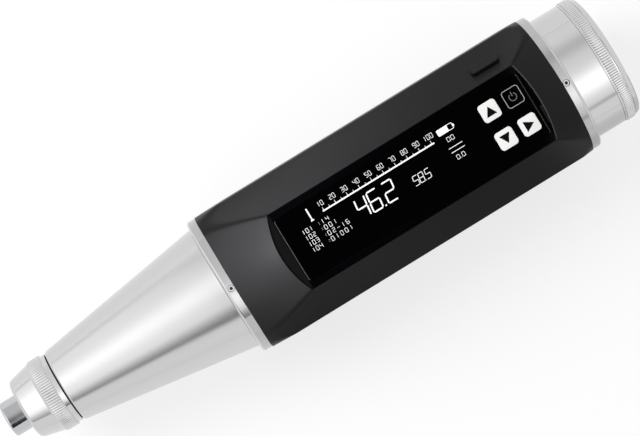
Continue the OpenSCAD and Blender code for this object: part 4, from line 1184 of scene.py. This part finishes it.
class HAMMER_OT_plug(bpy.types.Operator):
    """Moulds the rubber plug: rounded top, finger notch towards the display, and the tongue in the socket."""

    bl_idname = "hammer.plug"
    bl_label = "Socket Plug"

    def execute(self, context):
        _, _, grip, _ = settings()
        place = facet_place("usb_plug", 1)
        foot = grip.half + 0.05 * MM
        top = foot + 2.2 * MM
        sill, rim = top - grip.notch_height, 0.6 * MM
        below = [(foot, 0), (sill, 0)]
        above = [(sill, 0), *eased(top, 0, grip.plug_edge), (top, grip.plug_edge + rim)]
        rings = edge_rings(grip.plug_length, grip.plug_width, grip.plug_corner, below + above)
        # The notch draws the rings above its sill inwards: fully within its length, fading to the middle
        notched = np.repeat([0, 1], [len(below), len(above)])[:, None]
        x, y = rings[..., 0], rings[..., 1]
        end, fade, deep = 0.4 * MM, 1.2 * MM, 1.6 * MM
        within = np.clip((grip.notch_length / 2 + end / 2 - np.abs(x)) / end, 0, 1)
        pull = np.clip((-y - grip.plug_width / 2 + deep) / fade, 0, 1)
        rings[..., 1] += notched * grip.notch_depth * within * pull
        length, width, corner = 6.5 * MM, 1.5 * MM, 0.3 * MM
        depth, lead, overlap = 3 * MM, 0.1 * MM, 0.2 * MM
        tongue = edge_rings(length, width, corner, [(foot - depth, lead), (foot + overlap, 0)])
        parts = [loft(placed(some - (0, grip.plug_offset, 0), place)) for some in (rings, tongue)]
        made = piece("socket_plug", "usb_plug", "black_rubber", "black_rubber", *parts,
                     stands_for=["usb_plug"])
        # Painted light on the plug's top, a lighter copy of its rubber; the sides stay darker as painted
        # shade
        accent(made, "painted_lit_rubber", lambda _, normal: normal @ np.array(place[3]) > 0.85)
        return {"FINISHED"}


class HAMMER_OT_lock(bpy.types.Operator):
    """Turns the lock button on the lower side, with an eased top and a shallow thumb dish."""

    bl_idname = "hammer.lock"
    bl_label = "Lock Button"

    def execute(self, context):
        _, _, grip, _ = settings()
        origin, along, across, out = facet_place("lock_button", -1)
        top, radius = grip.half + 2.4 * MM, grip.button_d / 2
        dish, dish_depth = 0.72 * radius, 0.35 * MM
        stem, stem_end, rim = 2 * MM, 21.3 * MM, 5 * MM
        rim_foot, rim_top = 26 * MM, 26.7 * MM
        stem_edge, top_edge = 0.2 * MM, 0.6 * MM
        across_dish = np.linspace(0, dish, 9)[::-1]
        bowl = np.column_stack([top - dish_depth * (1 - (across_dish / dish) ** 2), across_dish])
        rest = rounded([
            (stem_end, 0), (stem_end, stem, stem_edge), (rim_foot, stem), (rim_foot, rim), (rim_top, rim),
            (rim_top, radius), (top, radius, top_edge), (top, dish),
        ])
        profile = np.concatenate([rest, bowl[1:]])
        piece("button_lock", "lock_button", "grip_plastic", "grip_plastic",
              turned(profile, 96, (origin, out, along, across), poles=True), stands_for=["lock_button"])
        return {"FINISHED"}


class HAMMER_OT_rear(bpy.types.Operator):
    """Turns the rear end: the plain barrel and the cap with its fine knurl, groove, lip and dish."""

    bl_idname = "hammer.rear"
    bl_label = "Rear Barrel and Cap"

    def execute(self, context):
        _, forms, _, _ = settings()
        seat, joint = stations("rear_barrel")
        shoulder = stations("rear_collar")[1]
        edge, outer = forms.broken_edge, forms.barrel_d / 2
        tube, flange = 24.05 * MM, 26 * MM
        barrel = rounded([
            (seat, tube), (seat, flange, edge), (shoulder, flange), (shoulder, outer, edge),
            (joint, outer, 1.5 * edge), (joint, tube),
        ])
        piece("barrel", "housing", "turned_aluminium", "bright_aluminium", turned(barrel, 320),
              stands_for=["rear_barrel"])

        spigot, end = stations("rear_cap")
        root, knurl = reach("rear_cap") - forms.knurl_depth, joint + 0.7 * MM
        stop = knurl + forms.rear_knurl_length
        groove, lip = stop + 0.5 * MM, outer - 0.1 * MM
        groove_r, chamfer = lip - 0.35 * MM, 0.6 * MM
        plate, dish = end - forms.rear_dish_depth, forms.rear_dish_d / 2
        face, face_edge, dish_edge, ease = lip - 1.4 * MM, 0.3 * MM, 0.5 * MM, 0.4 * MM
        bore, boss, boss_r = 2.55 * MM, joint - 5 * MM, 7 * MM
        hollow, thread = 21 * MM, 24 * MM
        count = forms.rear_knurl_teeth
        knurled_cap("end_cap", "rear_cap", "rear_knurl", [(joint, root)], (count, knurl, stop, root), [
            (stop, groove_r), (groove, groove_r), (groove, lip, edge),
            (end - chamfer, lip - chamfer, ease), (end, face, face_edge), (end, dish, dish_edge),
            (plate, dish, ease), (plate, bore, edge), (boss, bore), (boss, boss_r, edge), (joint, boss_r),
            (joint, hollow), (spigot, hollow), (spigot, thread, edge), (joint, thread),
        ], 6 * count)
        return {"FINISHED"}


class HAMMER_OT_springs(bpy.types.Operator):
    """Winds the five springs with round wire and closed ends, and lets them follow what they push."""

    bl_idname = "hammer.springs"
    bl_label = "Springs"

    def execute(self, context):
        def wound(name, node, body, start, axis, length, mean, wire, turns):
            """A spring of round wire, wound from start along an axis."""
            return piece(name, body, "spring_steel", "spring_steel",
                         coil(start, axis, length, mean, wire, turns), stands_for=[node])

        def along_x(name, node, body, mean, wire, turns, height=0.0):
            """A spring along the tool, as long as its CAD node and at a height above the tool's axis."""
            front, rear = stations(node)
            start = (front, 0, AXIS_Z + height)
            return wound(name, node, body, start, (1, 0, 0), rear - front, mean, wire, turns)

        impact = along_x("impact_coil", "impact_spring", "housing", mean=22.4 * MM, wire=2.2 * MM, turns=27)
        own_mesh(impact)
        pressure = along_x("pressure_coil", "pressure_spring", None, mean=30 * MM, wire=1.2 * MM, turns=12)
        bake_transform(pressure)
        along_x("cushion_coil", "cushion_spring", "carriage", mean=6.6 * MM, wire=1.0 * MM, turns=4)
        pawl = along_x("pawl_coil", "pawl_spring", "carriage", mean=2.6 * MM, wire=0.4 * MM, turns=3,
                       height=4.6 * MM)
        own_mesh(pawl)
        origin, _, _, out = facet_place("lock_spring", -1)
        seat, length = origin + out * 24.3 * MM, 1.4 * MM
        lock = wound("lock_coil", "lock_spring", "housing", seat, out, length, mean=6 * MM, wire=0.35 * MM,
                     turns=2)
        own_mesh(lock)
        return {"FINISHED"}


class HAMMER_OT_works(bpy.types.Operator):
    """Gives every solid that stays as it is the finish of its slot in the record."""

    bl_idname = "hammer.works"
    bl_label = "Inner Works"

    def execute(self, context):
        shown = {
            "steel": ["hammer_mass", "guide_disk", "pawl", "split_ring", "trip_lock_nut"],
            "hardened_steel": ["guide_bar", "disk_pin", "pawl_pin", "rider_rod"],
            "dark_steel": ["trip_screw"],
            "anodised_aluminium": ["inner_tube"],
            "brass": ["guide_sleeve"],
            "felt": ["felt_washer"],
            "gloss_black": ["display_module"],
            "board_green": ["circuit_board", "sensor_strip"],
            "rider_plastic": ["rider", "key_switches"],
            "cell_wrap": ["battery"],
            "plated_shell": ["usb_socket"],
        }
        for kind, nodes in shown.items():
            for node in nodes:
                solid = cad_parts[node]
                solid.data.materials.clear()
                solid.data.materials.append(finish(kind))
        return {"FINISHED"}


class HAMMER_OT_stage(bpy.types.Operator):
    """Sets the stage: pale floor, even sky, two soft lamps, screens for the metal to mirror, the camera."""

    bl_idname = "hammer.stage"
    bl_label = "Stage"

    def execute(self, context):
        scene = context.scene
        stage = scene.hammer_stage
        scene.view_settings.view_transform = "Standard"

        # Even sky: white where it is seen or mirrored, a little weaker where it lights
        world = bpy.data.worlds.new("sky")
        world.use_nodes = True
        scene.world = world
        tree = world.node_tree
        tree.nodes.clear()
        strength = add(tree, "MapRange", {"Value": self.seen(tree), "To Min": stage.sky, "To Max": 1.0})
        sky = add(tree, "Background", {"Color": (1, 1, 1, 1), "Strength": strength})
        add(tree, "OutputWorld", {"Surface": sky})

        # Floor: most of its white is its own where it is seen or mirrored, so the shadow stays soft
        material, tree = new_material("pale floor")
        own = add(tree, "Math", {0: self.seen(tree), 1: 0.73}, operation="MULTIPLY")
        paint = add(tree, "BsdfDiffuse", {"Color": linear("#959595")})
        glow = add(tree, "Emission", {"Strength": own})
        both = add(tree, "AddShader", {0: paint, 1: glow})
        add(tree, "OutputMaterial", {"Surface": both})
        reach_out, below = 4, 0.05 * MM
        ends = np.array([(0, -reach_out, -below), (0, reach_out, -below)])
        self.sheet("floor", ends - (reach_out, 0, 0), ends + (reach_out, 0, 0), material)

        # Screens that only mirrors see
        screen, tree = new_material("lit screen")
        level = add(tree, "Attribute", attribute_name="level").outputs["Fac"]
        add(tree, "OutputMaterial", {"Surface": add(tree, "Emission", {"Strength": level})})
        # Arches over the metal: name, front and rear x, level, swells (gain, middle and width in degrees
        # from the top towards -Y), degrees from and to which it dims, first and last degree
        arches = (
            ("screen_cap", -0.95, -0.60, 1.26, [(0.70, -12, 36)], (24, 70), (-80, 53)),
            ("screen_nose", -0.60, -0.30, 1.27, [(0.48, -17, 22)], (25, 57), (-80, 53)),
            ("screen_plunger", -0.30, -0.217, 0.77, [(-0.58, 10, 23)], (25, 33), (-80, 56)),
            ("screen_collar", -0.216, -0.036, 1.0, [(0.2, 0, 35), (0.85, 20, 18)], (37, 58), (-80, 54)),
            ("screen_rear", 0.206, 0.40, 1.02, [(0.9, 24, 20), (-0.3, -44, 15), (-0.4, 66, 4)], (90, 100),
             (-80, 72)),
        )
        radius = 0.9
        for name, front, rear, base, swells, (dim, dark), ends in arches:
            turn = np.linspace(*ends, 120)
            bells = [gain * np.exp(-(((turn - middle) / width) ** 2)) for gain, middle, width in swells]
            shown = (base + sum(bells)) * np.clip((dark - turn) / (dark - dim), 0, 1)
            turn = np.radians(turn)
            arch = radius * np.column_stack([np.zeros(len(turn)), -np.sin(turn), np.cos(turn)])
            self.sheet(name, arch + (front, 0, AXIS_Z), arch + (rear, 0, AXIS_Z), screen, shown)
        # Tables beside the grip and a dark card over the window: name, front and rear x, first and last y,
        # height, level at the first and last y
        tables = (
            ("table_left", -0.035, 0.116, 0.05, 0.5, MM, (0.5, 0.5)),
            ("table_right", -0.035, 0.114, -0.5, -0.05, MM, (0.22, 0.22)),
            ("table_rear", 0.115, 0.22, -0.25, -0.03, MM, (1.0, 0.66)),
            ("card_above", -0.026, 0.1145, -0.09, 0.078, 0.16, (0.02, 0.02)),
        )
        for name, front, rear, near, far, height, shown in tables:
            ends = np.array([(0, near, height), (0, far, height)])
            self.sheet(name, ends + (front, 0, 0), ends + (rear, 0, 0), screen, shown)

        key = self.lamp("key lamp", "AREA", (-0.70, 0.75, 0.85), (0, 0, 0.03), stage.key_power)
        key.data.shape, key.data.size, key.data.size_y = "RECTANGLE", 0.8, 0.8
        key.visible_glossy = False
        spot = self.lamp("front lamp", "SPOT", (-0.74, 0.14, 0.58), (-0.016, 0.013, 0.06), stage.front_power)
        spot.light_linking.receiver_collection = bpy.data.collections.new(FRONT_LIT)
        spot.data.spot_size, spot.data.spot_blend, spot.data.shadow_soft_size = math.radians(3.7), 1.0, 0.03

        # Camera: looks down on the window, the tool's axis lying across the picture
        aim = Vector((8.6, 3.8, 30.0)) * MM
        back = Vector((-21.1, 52.6, 1048.0)).normalized()
        right = Vector((0.8523, -0.5231, 0))
        right = (right - back * right.dot(back)).normalized()
        data = bpy.data.cameras.new("camera")
        data.lens, data.sensor_width = stage.lens, 36.0
        camera = bpy.data.objects.new("camera", data)
        turn = Matrix((right, back.cross(right), back)).transposed()
        camera.matrix_world = Matrix.Translation(aim + back * stage.distance) @ turn.to_4x4()
        scene.collection.objects.link(camera)
        scene.camera = camera
        return {"FINISHED"}

    def seen(self, tree):
        """Node that gives 1 where the camera or a mirror looks, else 0."""
        path = add(tree, "LightPath").outputs
        mirrored = add(tree, "Math", {0: path["Is Glossy Ray"], 1: path["Is Transmission Ray"]},
                       operation="MAXIMUM")
        return add(tree, "Math", {0: path["Is Camera Ray"], 1: mirrored}, operation="MAXIMUM")

    def sheet(self, name, first, second, material, level=None):
        """Sheet of quads between two lines of equal count; level is what each place along them shows.

        A sheet with levels is seen by mirrors only.
        """
        count = len(first)
        index = np.arange(count)
        faces = np.column_stack([index[:-1], index[1:], index[1:] + count, index[:-1] + count])
        mesh = bpy.data.meshes.new(name)
        mesh.from_pydata(np.concatenate([first, second]), [], faces.tolist())
        mesh.materials.append(material)
        made = bpy.data.objects.new(name, mesh)
        if level is not None:
            mesh.attributes.new("level", "FLOAT", "POINT").data.foreach_set("value", np.tile(level, 2))
            made.visible_camera = made.visible_diffuse = made.visible_shadow = False
        bpy.context.scene.collection.objects.link(made)

    def lamp(self, name, kind, place, aim, power):
        """Lamp that faces its aim."""
        data = bpy.data.lights.new(name, kind)
        data.energy = power
        made = bpy.data.objects.new(name, data)
        made.location = place
        made.rotation_euler = (Vector(aim) - Vector(place)).to_track_quat("-Z", "Y").to_euler()
        bpy.context.scene.collection.objects.link(made)
        return made


STEPS = (
    HAMMER_OT_stage, HAMMER_OT_plunger, HAMMER_OT_nose, HAMMER_OT_collars, HAMMER_OT_grip, HAMMER_OT_window,
    HAMMER_OT_readout, HAMMER_OT_keys, HAMMER_OT_plug, HAMMER_OT_lock, HAMMER_OT_rear, HAMMER_OT_springs,
    HAMMER_OT_works,
)


class HAMMER_PT_steps(bpy.types.Panel):
    """Lists the steps that build the finished hammer."""

    bl_idname = "HAMMER_PT_steps"
    bl_label = "Test Hammer"
    bl_space_type = "VIEW_3D"
    bl_region_type = "UI"
    bl_category = "Test Hammer"

    def draw(self, context):
        for step in STEPS:
            self.layout.operator(step.bl_idname)


GROUPS = {
    "hammer_finishes": HammerFinishes,
    "hammer_forms": HammerForms,
    "hammer_grip": HammerGrip,
    "hammer_readout": HammerReadout,
    "hammer_stage": HammerStage,
}


def register():
    for kind in (*GROUPS.values(), *STEPS, HAMMER_PT_steps):
        bpy.utils.register_class(kind)
    for name, kind in GROUPS.items():
        setattr(bpy.types.Scene, name, PointerProperty(type=kind))


def unregister():
    for name in GROUPS:
        delattr(bpy.types.Scene, name)
    for kind in reversed((*GROUPS.values(), *STEPS, HAMMER_PT_steps)):
        bpy.utils.unregister_class(kind)


def main():
    """Builds everything in order."""
    register()
    for step in STEPS:
        group, name = step.bl_idname.split(".")
        getattr(getattr(bpy.ops, group), name)()


if __name__ == "__main__":
    main()
